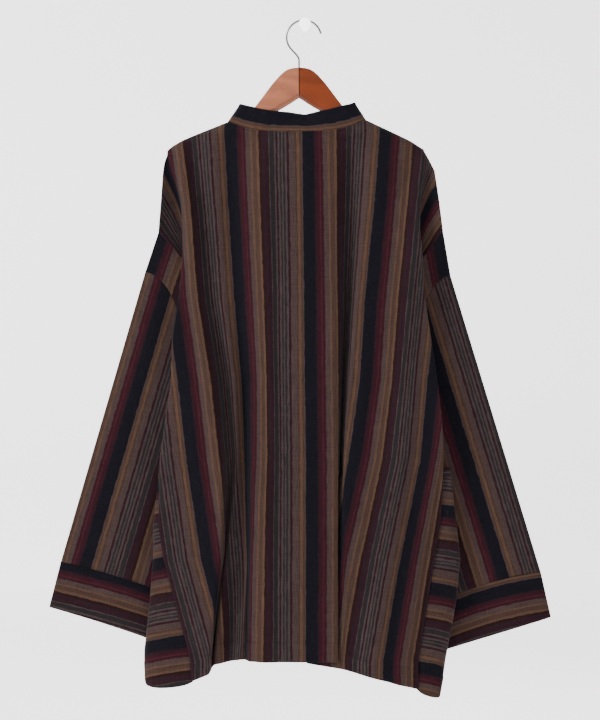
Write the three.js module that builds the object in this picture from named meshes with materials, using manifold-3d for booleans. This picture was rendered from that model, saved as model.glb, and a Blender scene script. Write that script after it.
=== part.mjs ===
// A loose striped kurta on a wooden hanger, hung by the hanger's hook on a round wall peg.
// Millimetres, +Z up. The wall is the plane y = 0 and the garment's back faces -Y.
// The origin is the centre of the peg's back face, on the wall.
// The cloth is a set of thin walls. Each panel is worked out from its flat cut: a place is
// given by its distance across the panel from the left seam (cut) and its height (z).
import * as THREE from 'three';
import { mergeVertices } from 'three/addons/utils/BufferGeometryUtils.js';
import Module from 'manifold-3d';

// Driving dimensions
const CLOTH = 1.6;            // thickness of a panel
const COLLAR_CLOTH = 2.4;     // the collar band is two layers
const COLLAR_HEIGHT = 35;
const SEAM_GAP = 0.3;         // between pieces that are sewn together
const LAP = 2.2;              // between the middles of two layers that lie on each other
const BACK_WIDTH = 663;       // flat width of the back panel
const FIXED_CUT = 330;        // the place on the back panel whose path is known
const UNDERARM_Z = -540;
const CORNER_Z = -353;        // the shoulder's outer corner, where the armhole starts
const GORE_TOP_Z = -761;
const GORE_TOP_WIDTH = 8;
const GORE_HEM_WIDTH = 122;
// The hems' heights at each side. The front's rises towards its middle, the gores' dip.
const FRONT_HEM = { left: -1122, right: -1136, rise: 50 };
const GORE_HEM = {
  left: { back: -1120, front: -1122, dip: 15 },
  right: { back: -1133, front: -1136, dip: 20 },
};
const FOLD_ROOM = 38;         // the deepest that a fold can reach towards the wall
const CREASE_SOFT = 7;        // half width over which a crease is rounded

const HANGER_X = -10;         // the hanger's middle
const HANGER_Y = -34;
const ARM_REACH = 213;        // from the middle to an arm's tip
const ARM_THICK = 12;
const ARM_ROUND = 4;
const BESIDE_ARM = 9;         // from an arm's middle to the middle of cloth hanging beside it
const ARM_SWEEP = 15;         // how far a tip lies nearer the wall than the middle
const HOOK_RADIUS = 29.6;
const WIRE_RADIUS = 1.7;
const PEG_RADIUS = 5.5;
const PEG_HEAD_RADIUS = 10;
const PEG_LENGTH = 46;

// The back panel's top edge away from the neck: where the shoulder seam crosses each cut.
const SHOULDER = [
  { cut: 0, z: -353 },
  { cut: 32, z: -302 },
  { cut: 65, z: -251 },
  { cut: 76, z: -231 },
  { cut: 90, z: -217 },
  { cut: 105, z: -206 },
  { cut: 119, z: -199 },
  { cut: 206, z: -165 },
  { cut: 440, z: -163 },
  { cut: 517, z: -198.5 },
  { cut: 541, z: -213 },
  { cut: 577, z: -251 },
  { cut: 621, z: -302 },
  { cut: 663, z: -353 },
];
const NECK = { left: 206, right: 440, backDrop: 20, frontDrop: 88 };
// The cuts where the panel leaves the hanger's tips, and the run over which it leaves them.
const TIPS = { left: 88, right: 558, run: 24 };
const SLIT = { top: -240, bottom: -510, wide: 13, narrow: 3 };

// The hem's height at each cut.
const HEM = [
  { cut: 0, z: -1120 },
  { cut: 34, z: -1106 },
  { cut: 104, z: -1092 },
  { cut: 175, z: -1084 },
  { cut: 384, z: -1086 },
  { cut: 455, z: -1092 },
  { cut: 527, z: -1099 },
  { cut: 600, z: -1118 },
  { cut: 663, z: -1133 },
];

// Folds of the back panel, one row each. At each of the heights: where the fold starts, how
// much cloth lies across it (wide) and how much narrower that cloth hangs (slack). rise is the
// step in depth across it at the hem. way is 1 for a trough towards the wall and -1 for a swell.
const FOLD_HEIGHTS = [-190, -302, -472, -608, -744, -914, -1084];
const FOLDS = [
  {
    name: 'shoulder swell', way: -1, room: 8, rise: 0,
    start: [100, 100, 100, 100, 100, 100, 100],
    wide: [40, 40, 40, 40, 40, 40, 40],
    slack: [3, 11, 8, 4, 4, 2, 0],
  },
  {
    name: 'left pleat', way: 1, room: 17, rise: 15,
    start: [126, 126, 126, 129, 129, 102, 36],
    wide: [51, 51, 51, 51, 51, 44, 68],
    slack: [0, 3, 7, 15, 21, 32, 60],
  },
  {
    name: 'left hem hollow', way: 1, room: 8, rise: 3,
    start: [180, 180, 180, 180, 165, 140, 106],
    wide: [60, 60, 60, 60, 60, 66, 69],
    slack: [0, 0, 0, 2, 4, 6, 29],
  },
  {
    name: 'rise at the second dark stripe', way: 1, room: 10, rise: -18,
    start: [175, 175, 175, 175, 175, 175, 175],
    wide: [58, 58, 58, 58, 58, 58, 58],
    slack: [0, 3, 5, 12, 19, 40, 42],
  },
  {
    name: 'swell beside the middle', way: -1, room: 8, rise: 0,
    start: [233, 233, 233, 233, 233, 233, 233],
    wide: [56, 56, 56, 56, 56, 56, 56],
    slack: [0, 3, 10, 15, 14, 7, 3],
  },
  {
    name: 'middle pleat', way: 1, room: FOLD_ROOM, rise: 0,
    start: [384, 384, 384, 384, 384, 384, 384],
    wide: [68, 68, 68, 61, 71, 110, 143],
    slack: [0, 10, 29, 39, 60, 99, 129],
  },
  {
    name: 'right swell', way: -1, room: 9, rise: 0,
    start: [520, 515, 505, 500, 505, 530, 530],
    wide: [50, 50, 70, 90, 90, 90, 90],
    slack: [0, 8, 9, 18, 10, 8, 8],
  },
  {
    name: 'right edge swell', way: -1, room: 7, rise: 0,
    start: [600, 600, 600, 600, 598, 598, 598],
    wide: [58, 58, 58, 58, 58, 58, 58],
    slack: [0, 0, 0, 0, 15, 7, 5],
  },
];

// The panel's sides, where the cloth turns in past the hanger's tips. Up to the ridge (a cut
// measured from its own seam) the panel faces outwards; beyond it the cloth runs through a
// hollow to its edge. inward and outward are along x from the ridge, deep is towards the wall.
const SIDES = [
  { z: -190, ridgeLeft: 105, ridgeRight: 122, share: 0.5, inward: 0, hollow: 0, outward: 0, deep: 0 },
  { z: -216, ridgeLeft: 105, ridgeRight: 122, share: 0.5, inward: 0, hollow: 0, outward: 0, deep: 0 },
  { z: -251, ridgeLeft: 100, ridgeRight: 121, share: 0.42, inward: -8, hollow: 7, outward: 21, deep: 4 },
  { z: -302, ridgeLeft: 100, ridgeRight: 119, share: 0.36, inward: -2, hollow: 18, outward: 33, deep: 6 },
  { z: -353, ridgeLeft: 98, ridgeRight: 112, share: 0.38, inward: 6, hollow: 21, outward: 39, deep: 9 },
  { z: -404, ridgeLeft: 95, ridgeRight: 100, share: 0.42, inward: 14, hollow: 19, outward: -4, deep: 17 },
  { z: -472, ridgeLeft: 83, ridgeRight: 87, share: 0.5, inward: 24, hollow: 12, outward: -37, deep: 20 },
  { z: -540, ridgeLeft: 62, ridgeRight: 68, share: 0.5, inward: 26, hollow: 10, outward: -50, deep: 17 },
  { z: -608, ridgeLeft: 51, ridgeRight: 49, share: 0.5, inward: 22, hollow: 8, outward: -44, deep: 14 },
  { z: -676, ridgeLeft: 33, ridgeRight: 31, share: 0.5, inward: 14, hollow: 6, outward: -27, deep: 11 },
  { z: -744, ridgeLeft: 17, ridgeRight: 12, share: 0.5, inward: 6, hollow: 4, outward: -11, deep: 7 },
  { z: -800, ridgeLeft: 8, ridgeRight: 3, share: 0.5, inward: 2, hollow: 2, outward: -4, deep: 3 },
  { z: -854, ridgeLeft: 0.5, ridgeRight: 0.5, share: 0.5, inward: 0, hollow: 0, outward: 0, deep: 0 },
  { z: -1170, ridgeLeft: 0.5, ridgeRight: 0.5, share: 0.5, inward: 0, hollow: 0, outward: 0, deep: 0 },
];

// How far the two faces of the body stand from the wall at the middle and at the sides, where
// the fixed cut lies, and the x of the gores' outer creases.
const BODY = [
  { z: -120, fixedX: -5, back: 43, backSide: 27, front: 25, frontSide: 11 },
  { z: -190, fixedX: -5, back: 44, backSide: 29, front: 24, frontSide: 11 },
  { z: -302, fixedX: -3.4, back: 47, backSide: 33, front: 16, frontSide: 13 },
  { z: -472, fixedX: -1, back: 50, backSide: 42, front: 14, frontSide: 18 },
  { z: -744, fixedX: 1.7, back: 58, backSide: 47, front: 16, frontSide: 20.5 },
  { z: -1084, fixedX: 1.7, back: 72, backSide: 54, front: 18, frontSide: 20.5 },
  { z: -1170, fixedX: 1.7, back: 74, backSide: 55, front: 18, frontSide: 20.5 },
];
const GORE_CREASES = [
  { z: -761, left: -249, right: 248 },
  { z: -854, left: -258, right: 258 },
  { z: -914, left: -258, right: 263.5 },
  { z: -987, left: -264, right: 257 },
  { z: -1070, left: -272, right: 241.4 },
  { z: -1118, left: -272, right: 233 },
  { z: -1160, left: -272, right: 222 },
];

// Rings of the sleeves, each flattened from an outer to an inner point over a bend.
const SLEEVES = {
  left: {
    side: -1,
    top: { outer: [-274.7, -422.5], bend: [-219.3, -431], inner: [-194, -590] },
    wrist: { outer: [-420.2, -922], bend: [-297.5, -947], inner: [-173.4, -1002] },
    end: { outer: [-440, -999.6], bend: [-306, -1036], inner: [-173.4, -1090] },
  },
  right: {
    side: 1,
    top: { outer: [250.4, -429], bend: [202.3, -431], inner: [178, -590] },
    wrist: { outer: [406, -940], bend: [289, -953], inner: [161.5, -1026] },
    end: { outer: [423.3, -1017], bend: [297.5, -1055], inner: [161.5, -1097] },
  },
};
const SLEEVE_DEPTH = -9.8;    // middle of the flattened tube
const SLEEVE_HALF = 6;        // from there to the middle of each layer

const FINISH = {
  cloth: { color: 0x3a2a2c, roughness: 0.95, metalness: 0 },
  crossCloth: { color: 0x45332f, roughness: 0.95, metalness: 0 },
  wood: { color: 0xa8561f, roughness: 0.35, metalness: 0 },
  steel: { color: 0xb8bbbe, roughness: 0.3, metalness: 1 },
  white: { color: 0xf2f2f0, roughness: 0.4, metalness: 0 },
};

// Small helpers
const clamp = (value, low, high) => Math.min(high, Math.max(low, value));
const mix = (a, b, share) => a + (b - a) * share;
const soft = (value) => {
  const t = clamp(value, 0, 1);
  return t * t * (3 - 2 * t);
};

// The value of a table's column at a height or cut, straight between rows.
function column(rows, name, key, place) {
  const falling = rows[0][key] > rows[rows.length - 1][key];
  let i = 0;
  while (i < rows.length - 2 && (falling ? place < rows[i + 1][key] : place > rows[i + 1][key])) i += 1;
  const share = clamp((place - rows[i][key]) / (rows[i + 1][key] - rows[i][key]), 0, 1);
  return mix(rows[i][name], rows[i + 1][name], share);
}

// The one fold whose cloth leans over itself, as it has more than its room in depth takes.
const TUCKED = FOLDS.find((fold) => fold.name === 'middle pleat');

const foldRows = FOLDS.map((fold) => FOLD_HEIGHTS.map((z, i) => ({
  z, start: fold.start[i], wide: fold.wide[i], slack: fold.slack[i],
})));

// Back panel
function topHeight(cut) {
  if (cut <= NECK.left || cut >= NECK.right) return column(SHOULDER, 'z', 'cut', cut);
  const half = (NECK.right - NECK.left) / 2;
  const across = (cut - NECK.left - half) / half;
  return column(SHOULDER, 'z', 'cut', cut) - NECK.backDrop * (1 - Math.abs(across) ** 3);
}

const hemHeight = (cut) => column(HEM, 'z', 'cut', cut);

const armDepth = (x) => HANGER_Y + ARM_SWEEP * clamp(Math.abs(x - HANGER_X) / ARM_REACH, 0, 1);

// The cut at which the panel's side edge lies at a height, measured from its seam.
function edgeCut(z, side) {
  if (z <= CORNER_Z) return 0;
  const rows = SHOULDER.filter((row) => (side < 0 ? row.cut <= 105 : row.cut >= 541));
  const cut = column(side < 0 ? rows : [...rows].reverse(), 'cut', 'z', z);
  return side < 0 ? cut : BACK_WIDTH - cut;
}

function foldShape(cut, z) {
  let taken = 0;
  let depth = 0;
  FOLDS.forEach((fold, i) => {
    const start = column(foldRows[i], 'start', 'z', z);
    const wide = column(foldRows[i], 'wide', 'z', z);
    const slack = column(foldRows[i], 'slack', 'z', z);
    const share = clamp((cut - start) / wide, 0, 1);
    const bump = Math.sin(Math.PI * share) ** 2;
    const flank = Math.sqrt(Math.max(wide ** 2 - (wide - slack) ** 2, 0)) / 2;
    const deep = Math.min(flank, fold.room);
    const tuck = fold === TUCKED ? Math.sqrt(flank ** 2 - deep ** 2) : 0;
    taken += slack * share + tuck * bump;
    depth += fold.way * deep * bump + fold.rise * clamp(-(z + 250) / 700, 0, 1) * soft(share);
  });
  return { taken, depth };
}

function facePoint(cut, z) {
  const here = foldShape(cut, z);
  const fixed = foldShape(FIXED_CUT, z);
  const x = column(BODY, 'fixedX', 'z', z) + cut - FIXED_CUT - here.taken + fixed.taken;
  const off = clamp(Math.abs(x - HANGER_X) / 240, 0, 1) ** 2;
  const y = -mix(column(BODY, 'back', 'z', z), column(BODY, 'backSide', 'z', z), off);
  return new THREE.Vector3(x, y + here.depth - fixed.depth, z);
}

// Through 0, middle (at share) and end (at 1), as one smooth bend.
function bendThrough(q, share, middle, end) {
  const a = (q * (1 - q)) / (share * (1 - share));
  const b = (q * (q - share)) / (1 - share);
  return a * middle + b * end;
}

function rawBackPoint(cut, z) {
  const side = cut < BACK_WIDTH / 2 ? -1 : 1;
  const own = side < 0 ? cut : BACK_WIDTH - cut;
  const ridge = column(SIDES, side < 0 ? 'ridgeLeft' : 'ridgeRight', 'z', z);
  if (own >= ridge) return facePoint(cut, z);
  const edge = edgeCut(z, side);
  const q = clamp((ridge - own) / Math.max(ridge - edge, 1), 0, 1);
  const point = facePoint(side < 0 ? ridge : BACK_WIDTH - ridge, z);
  const share = column(SIDES, 'share', 'z', z);
  const out = bendThrough(q, share, -column(SIDES, 'inward', 'z', z), column(SIDES, 'outward', 'z', z));
  point.x += side * out;
  point.y += bendThrough(q, share, column(SIDES, 'hollow', 'z', z), column(SIDES, 'deep', 'z', z));
  return point;
}

// A point on the middle of the back panel, its creases rounded and its top laid over the hanger.
function backPoint(cut, z) {
  const low = z > CORNER_Z ? edgeCut(z, -1) : 0;
  const high = z > CORNER_Z ? BACK_WIDTH - edgeCut(z, 1) : BACK_WIDTH;
  const reach = Math.min(CREASE_SOFT, cut - low, high - cut);
  const point = new THREE.Vector3();
  const taps = [[-1, 1], [-0.5, 2], [0, 2], [0.5, 2], [1, 1]];
  for (const [step, weight] of taps) {
    point.addScaledVector(rawBackPoint(cut + step * Math.max(reach, 0), z), weight / 8);
  }
  const drop = Math.max(topHeight(cut) - z, 0);
  const settled = Math.sqrt(1 - Math.exp(-drop / 6));
  const start = topDepth(cut, point) - 1;
  point.y = mix(start, point.y, settled);
  return point;
}

// The depth of the seam between back and front along the panel's top: over the middle of the
// hanger's arm on the shoulders, and with the back panel behind the neck and past the tips.
function topDepth(cut, point) {
  const onArm = soft(Math.min(cut - TIPS.left, TIPS.right - cut) / TIPS.run);
  const drop = column(SHOULDER, 'z', 'cut', cut) - topHeight(cut);
  return mix(point.y + 1, armDepth(point.x) - besideArm(drop), onArm);
}

// How far cloth stands from the middle of the hanger's arm, at a drop below the shoulder line.
function besideArm(drop) {
  return BESIDE_ARM * Math.sqrt(1 - Math.exp(-drop / 3));
}

// Gores: from the back seam round the crease to the front seam.
function goreWidth(z) {
  return mix(GORE_TOP_WIDTH, GORE_HEM_WIDTH, (GORE_TOP_Z - z) / (GORE_TOP_Z - GORE_HEM.left.back));
}

function goreEnds(z, side) {
  const back = backPoint(side < 0 ? 0 : BACK_WIDTH, z);
  const crease = column(GORE_CREASES, side < 0 ? 'left' : 'right', 'z', z);
  const shown = Math.abs(crease - back.x);
  const x = crease - side * Math.max(goreWidth(z) - shown, 3);
  return { back, crease, front: new THREE.Vector3(x, -column(BODY, 'frontSide', 'z', z), z) };
}

function goreHem(share, hem) {
  return mix(hem.back, hem.front, share) - hem.dip * Math.sqrt(Math.sin(Math.PI * share));
}

function gorePoint(share, z, side) {
  const { back, crease, front } = goreEnds(z, side);
  const pull = 2 * crease - (back.x + front.x) / 2;
  const x = (1 - share) ** 2 * back.x + 2 * share * (1 - share) * pull + share ** 2 * front.x;
  const y = mix(back.y + LAP, front.y - LAP, soft(share));
  return new THREE.Vector3(x, y, z);
}

// The lap between the panels at an edge, wider where the back panel turns steeply.
function steepLap(cut, z) {
  const edge = backPoint(cut, z);
  const inner = backPoint(cut + (cut < BACK_WIDTH / 2 ? 4 : -4), z - 2);
  const slope = (edge.y - inner.y) / Math.max(Math.abs(edge.x - inner.x), 1);
  return LAP * Math.min(Math.hypot(1.3, slope), 2.5);
}

// Front panel: cut runs from 0 to 1 across it.
function frontEdge(z, side) {
  if (z < GORE_TOP_Z) return goreEnds(z, side).front;
  const along = side < 0 ? edgeCut(z, side) : BACK_WIDTH - edgeCut(z, side);
  const point = backPoint(along, z);
  const open = soft((CORNER_Z - z) / 70) * soft((z - UNDERARM_Z) / 90);
  point.y = mix(point.y + steepLap(along, z), -11, open);
  return point;
}

function frontTop(cut) {
  const along = cut * BACK_WIDTH;
  const back = backPoint(along, topHeight(along));
  if (along > NECK.left && along < NECK.right) {
    const half = (NECK.right - NECK.left) / 2;
    const across = Math.abs(along - NECK.left - half) / half;
    const drop = NECK.frontDrop * Math.sqrt(1 - across ** 2.4);
    back.z = column(SHOULDER, 'z', 'cut', along) - drop;
    back.y = mix(-17, armDepth(back.x) + 1.2 + besideArm(drop), across ** 2);
    return back;
  }
  const pastTips = along < TIPS.left + TIPS.run || along > TIPS.right - TIPS.run;
  back.y += pastTips ? steepLap(along, topHeight(along)) : LAP;
  return back;
}

function frontHem(cut) {
  return mix(FRONT_HEM.left, FRONT_HEM.right, cut) + FRONT_HEM.rise * Math.sqrt(Math.sin(Math.PI * cut));
}

function frontPoint(cut, z) {
  const top = frontTop(cut);
  const drop = Math.max(top.z - z, 0);
  const left = frontEdge(z, -1);
  const right = frontEdge(z, 1);
  const fromEdge = Math.min(cut, 1 - cut);
  const nearEdge = Math.max((1 - soft(fromEdge / 0.1)) * soft(drop / 30), 1 - soft(fromEdge / 0.01));
  const turned = Math.max(soft(drop / 150), nearEdge);
  const x = mix(top.x, mix(left.x, right.x, cut), turned);
  const away = Math.abs(x - HANGER_X);
  let y = -mix(column(BODY, 'front', 'z', z), column(BODY, 'frontSide', 'z', z), soft((away - 70) / 70));
  const grown = clamp((-330 - z) / 750, 0, 1) * (1 - soft((away - 85) / 40));
  y += 8 * grown * Math.sin(2 * Math.PI * (5.5 * cut + 0.35 * Math.sin(5 * cut + z / 400)));
  y = mix(armDepth(x) + 11.5, y, soft((drop - 30) / 120));
  y = mix(cut < 0.5 ? left.y : right.y, y, 1 - Math.exp(-fromEdge * 160));
  return new THREE.Vector3(x, mix(top.y, y, Math.sqrt(1 - Math.exp(-drop / 6))), z);
}

// Sleeves
function ringPoint(ring, turn) {
  const around = 2 * Math.PI * turn;
  const t = (1 - Math.cos(around)) / 2;
  const [a, b, c] = [ring.outer, ring.bend, ring.inner];
  const [x, z] = [0, 1].map((k) => (1 - t) ** 2 * a[k] + 2 * t * (1 - t) * b[k] + t ** 2 * c[k]);
  const bulge = Math.sign(Math.sin(around)) * Math.sqrt(Math.abs(Math.sin(around)));
  return new THREE.Vector3(x, SLEEVE_DEPTH - SLEEVE_HALF * bulge, z);
}

// The armhole: down the back panel's edge and up the front's, each layer outside the panel.
function armholePoint(side, turn) {
  const t = (1 - Math.cos(2 * Math.PI * turn)) / 2;
  const z = mix(CORNER_Z - 1, UNDERARM_Z, t);
  const front = turn > 0.5;
  const point = front ? frontEdge(z, side) : backPoint(side < 0 ? 0 : BACK_WIDTH, z);
  point.x += side * (1 + 3 * t ** 4);
  point.y += LAP * (front ? 1.5 : 1 + t ** 6);
  return point;
}

const between = (a, b, share) => a.clone().lerp(b, share);

// Meshes
// A wall of even thickness along a surface given by point(u, v), closed on itself in u if ring.
function wall(point, us, vs, thickness, ring = false) {
  const columns = us.length;
  const rows = vs.length;
  const middle = us.map((u) => vs.map((v) => point(u, v)));
  const at = (i, j) => {
    const place = ring ? (i + columns) % columns : clamp(i, 0, columns - 1);
    return middle[place][clamp(j, 0, rows - 1)];
  };
  const positions = [];
  for (const half of [thickness / 2, -thickness / 2]) {
    for (let i = 0; i < columns; i += 1) {
      for (let j = 0; j < rows; j += 1) {
        const across = at(i + 1, j).clone().sub(at(i - 1, j));
        const down = at(i, j + 1).clone().sub(at(i, j - 1));
        const normal = across.cross(down).normalize();
        positions.push(...at(i, j).clone().addScaledVector(normal, half).toArray());
      }
    }
  }
  const indices = [];
  const id = (i, j, layer) => layer * columns * rows + (i % columns) * rows + j;
  const quad = (a, b, c, d) => indices.push(a, b, c, a, c, d);
  const spans = ring ? columns : columns - 1;
  for (let i = 0; i < spans; i += 1) {
    for (let j = 0; j < rows - 1; j += 1) {
      quad(id(i, j, 0), id(i + 1, j, 0), id(i + 1, j + 1, 0), id(i, j + 1, 0));
      quad(id(i, j, 1), id(i, j + 1, 1), id(i + 1, j + 1, 1), id(i + 1, j, 1));
    }
    quad(id(i, 0, 0), id(i, 0, 1), id(i + 1, 0, 1), id(i + 1, 0, 0));
    quad(id(i, rows - 1, 0), id(i + 1, rows - 1, 0), id(i + 1, rows - 1, 1), id(i, rows - 1, 1));
  }
  for (let j = 0; !ring && j < rows - 1; j += 1) {
    quad(id(0, j, 0), id(0, j + 1, 0), id(0, j + 1, 1), id(0, j, 1));
    const last = columns - 1;
    quad(id(last, j, 0), id(last, j, 1), id(last, j + 1, 1), id(last, j + 1, 0));
  }
  const geometry = new THREE.BufferGeometry();
  geometry.setAttribute('position', new THREE.Float32BufferAttribute(positions, 3));
  geometry.setIndex(indices);
  return geometry;
}

function steps(count, from = 0, to = 1) {
  return Array.from({ length: count + 1 }, (_, i) => mix(from, to, i / count));
}

const turns = (count) => Array.from({ length: count }, (_, i) => i / count);

// Columns across a panel: even, and close together where the neck's edge drops away.
function panelCuts(count) {
  const close = [-2, 0.3, 2, 6, 12];
  const nearNeck = close.flatMap((step) => [NECK.left + step, NECK.right - step]);
  const even = steps(count, SEAM_GAP, BACK_WIDTH - SEAM_GAP);
  const kept = even.filter((cut) => nearNeck.every((near) => Math.abs(cut - near) > 5));
  return [...kept, ...nearNeck].sort((a, b) => a - b);
}

// Rows down a panel: close together where it leaves the hanger, then even.
const panelRows = (count) => [0, 0.005, 0.014, 0.03, 0.055, ...steps(count, 0.09, 1)];

const group = new THREE.Group();

function add(name, geometry, finish) {
  const mesh = new THREE.Mesh(geometry, new THREE.MeshStandardMaterial(FINISH[finish]));
  mesh.name = name;
  group.add(mesh);
  return mesh;
}

function backPanel() {
  const place = (cut, v) => backPoint(cut, mix(topHeight(cut), hemHeight(cut), v));
  return wall(place, panelCuts(44), panelRows(18), CLOTH);
}

function solidOf(wasm, geometry) {
  const bare = new THREE.BufferGeometry();
  bare.setAttribute('position', geometry.getAttribute('position').clone());
  if (geometry.index) bare.setIndex(geometry.index);
  const merged = mergeVertices(bare, 1e-4);
  return new wasm.Manifold(new wasm.Mesh({
    numProp: 3,
    vertProperties: new Float32Array(merged.getAttribute('position').array),
    triVerts: new Uint32Array(merged.index.array),
  }));
}

function geometryOf(solid) {
  const mesh = solid.getMesh();
  const geometry = new THREE.BufferGeometry();
  geometry.setAttribute('position', new THREE.Float32BufferAttribute(Array.from(mesh.vertProperties), 3));
  geometry.setIndex(Array.from(mesh.triVerts));
  return geometry;
}

// The front panel, with its opening slit cut down the middle of the neck.
function frontPanel(wasm) {
  const place = (cut, v) => frontPoint(cut, mix(frontTop(cut).z, frontHem(cut), v));
  const cuts = panelCuts(38).map((cut) => cut / BACK_WIDTH);
  const sheet = solidOf(wasm, wall(place, cuts, panelRows(14), CLOTH));
  const wedge = new THREE.Shape([
    new THREE.Vector2(HANGER_X - SLIT.wide / 2, SLIT.top),
    new THREE.Vector2(HANGER_X - SLIT.narrow / 2, SLIT.bottom),
    new THREE.Vector2(HANGER_X + SLIT.narrow / 2, SLIT.bottom),
    new THREE.Vector2(HANGER_X + SLIT.wide / 2, SLIT.top),
  ]);
  const cutter = new THREE.ExtrudeGeometry(wedge, { depth: 40, bevelEnabled: false });
  cutter.rotateX(Math.PI / 2);
  return geometryOf(sheet.subtract(solidOf(wasm, cutter)));
}

// The collar: round the neck edge from one side of the slit to the other, leaning inwards.
function collarBase(share) {
  const frontPart = 0.27;
  const gap = SLIT.wide / 2 + 1;
  if (share < frontPart || share > 1 - frontPart) {
    const left = share < frontPart;
    const t = (left ? share : 1 - share) / frontPart;
    const end = left ? NECK.left : NECK.right;
    const middle = (NECK.left + NECK.right) / 2 + (left ? -gap : gap);
    return frontTop(mix(middle, end, Math.sin((t * Math.PI) / 2)) / BACK_WIDTH);
  }
  const t = (share - frontPart) / (1 - 2 * frontPart);
  const along = mix(NECK.left, NECK.right, t);
  return backPoint(along, topHeight(along));
}

function collarPoint(share, v) {
  const base = collarBase(share);
  const around = Math.abs(share - 0.5) * 2;
  const nape = (base.x + 3) / 24;
  const lean = around > 0.46 ? -7 * soft((around - 0.46) / 0.5) : 1.5 + 19 * Math.exp(-nape * nape);
  const rise = Math.sqrt(COLLAR_HEIGHT ** 2 - lean ** 2);
  const x = mix(base.x, HANGER_X, 0.01 + 0.17 * v);
  return new THREE.Vector3(x, base.y + lean * v, base.z + 1 + rise * v);
}

// The hanger's arm, an outline in x and z (measured from the middle), made thick along y.
function hangerArm(side) {
  const outline = [
    [0.7, -74], [14, -75], [26, -80.5], [46, -101.7], [75, -140], [90, -155], [104, -167],
    [119, -172.5], [135, -175.6], [192, -201.2], [202, -207], [208, -214], [210, -221], [207, -227],
    [198, -228], [186, -224], [131, -198], [88, -172], [49, -148.5], [0.7, -119.5],
  ];
  const shape = new THREE.Shape(outline.map(([x, z]) => new THREE.Vector2(side * x, z)));
  const geometry = new THREE.ExtrudeGeometry(shape, {
    depth: ARM_THICK - 2 * ARM_ROUND, bevelEnabled: true, bevelThickness: ARM_ROUND,
    bevelSize: ARM_ROUND, bevelOffset: -ARM_ROUND, bevelSegments: 3,
  });
  geometry.translate(0, 0, ARM_ROUND - ARM_THICK / 2);
  geometry.rotateX(Math.PI / 2);
  return geometry;
}

function hookWire() {
  const middle = { x: -1.7, z: -22.1 };
  const points = [];
  for (let degrees = 12; degrees <= 196; degrees += 11.5) {
    const turn = THREE.MathUtils.degToRad(degrees);
    const x = middle.x + HOOK_RADIUS * Math.cos(turn);
    points.push(new THREE.Vector3(x, HANGER_Y, middle.z + HOOK_RADIUS * Math.sin(turn)));
  }
  const shank = [[-26, -40], [-18.6, -47], [-12.4, -54.5], [-10, -63], [-10, -73.6]];
  for (const [x, z] of shank) {
    points.push(new THREE.Vector3(x, HANGER_Y, z));
  }
  const section = new THREE.Shape(turns(8).map((turn) => new THREE.Vector2(
    WIRE_RADIUS * Math.cos(2 * Math.PI * turn),
    WIRE_RADIUS * Math.sin(2 * Math.PI * turn),
  )));
  return new THREE.ExtrudeGeometry(section, {
    steps: 40, bevelEnabled: false, extrudePath: new THREE.CatmullRomCurve3(points),
  });
}

function wallPeg() {
  const head = PEG_HEAD_RADIUS;
  const under = PEG_LENGTH - 6;
  const profile = [
    [0, 0], [PEG_RADIUS, 0], [PEG_RADIUS, under], [head - 1, under], [head, under + 1],
    [head, PEG_LENGTH - 2.5], [head - 1, PEG_LENGTH - 0.8], [head - 3, PEG_LENGTH], [0, PEG_LENGTH],
  ];
  return new THREE.LatheGeometry(profile.map(([r, h]) => new THREE.Vector2(r, h)), 28);
}

const wasm = await Module();
wasm.setup();

add('back_panel', backPanel(), 'cloth');
add('front_panel', frontPanel(wasm), 'cloth');
add('collar_band', wall(collarPoint, steps(44, 0.002, 0.998), steps(3), COLLAR_CLOTH), 'cloth');

for (const [name, sleeve] of Object.entries(SLEEVES)) {
  const { side } = sleeve;
  const low = (share) => goreHem(share, GORE_HEM[name]);
  const gore = (share, v) => gorePoint(share, mix(GORE_TOP_Z - 2, low(share), v), side);
  add(`side_gore_${name}`, wall(gore, steps(8, 0.006, 0.994), steps(9), CLOTH), 'crossCloth');
  const strip = (turn, v) => between(armholePoint(side, turn), ringPoint(sleeve.top, turn), v);
  add(`upper_sleeve_${name}`, wall(strip, turns(24), steps(3, 0.004, 0.97), CLOTH, true), 'crossCloth');
  const arm = (turn, v) => between(ringPoint(sleeve.top, turn), ringPoint(sleeve.wrist, turn), v);
  add(`sleeve_${name}`, wall(arm, turns(24), steps(8, 0.003, 0.9985), CLOTH, true), 'cloth');
  const cuff = (turn, v) => between(ringPoint(sleeve.wrist, turn), ringPoint(sleeve.end, turn), v);
  add(`cuff_${name}`, wall(cuff, turns(24), steps(2), CLOTH, true), 'crossCloth');
  const wood = add(`hanger_arm_${name}`, hangerArm(side), 'wood');
  wood.position.set(HANGER_X, HANGER_Y, 0);
  wood.rotation.z = Math.atan2(ARM_SWEEP, ARM_REACH) * side;
}

add('hanger_hook', hookWire(), 'steel');
const peg = add('wall_peg', wallPeg(), 'white');
peg.rotation.x = Math.PI;

export default group;
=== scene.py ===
# A loose striped kurta on a wooden hanger, its back towards the viewer, hung from a wall peg.
# Tables are in millimetres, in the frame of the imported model, and MM turns them into metres.
import math

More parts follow.
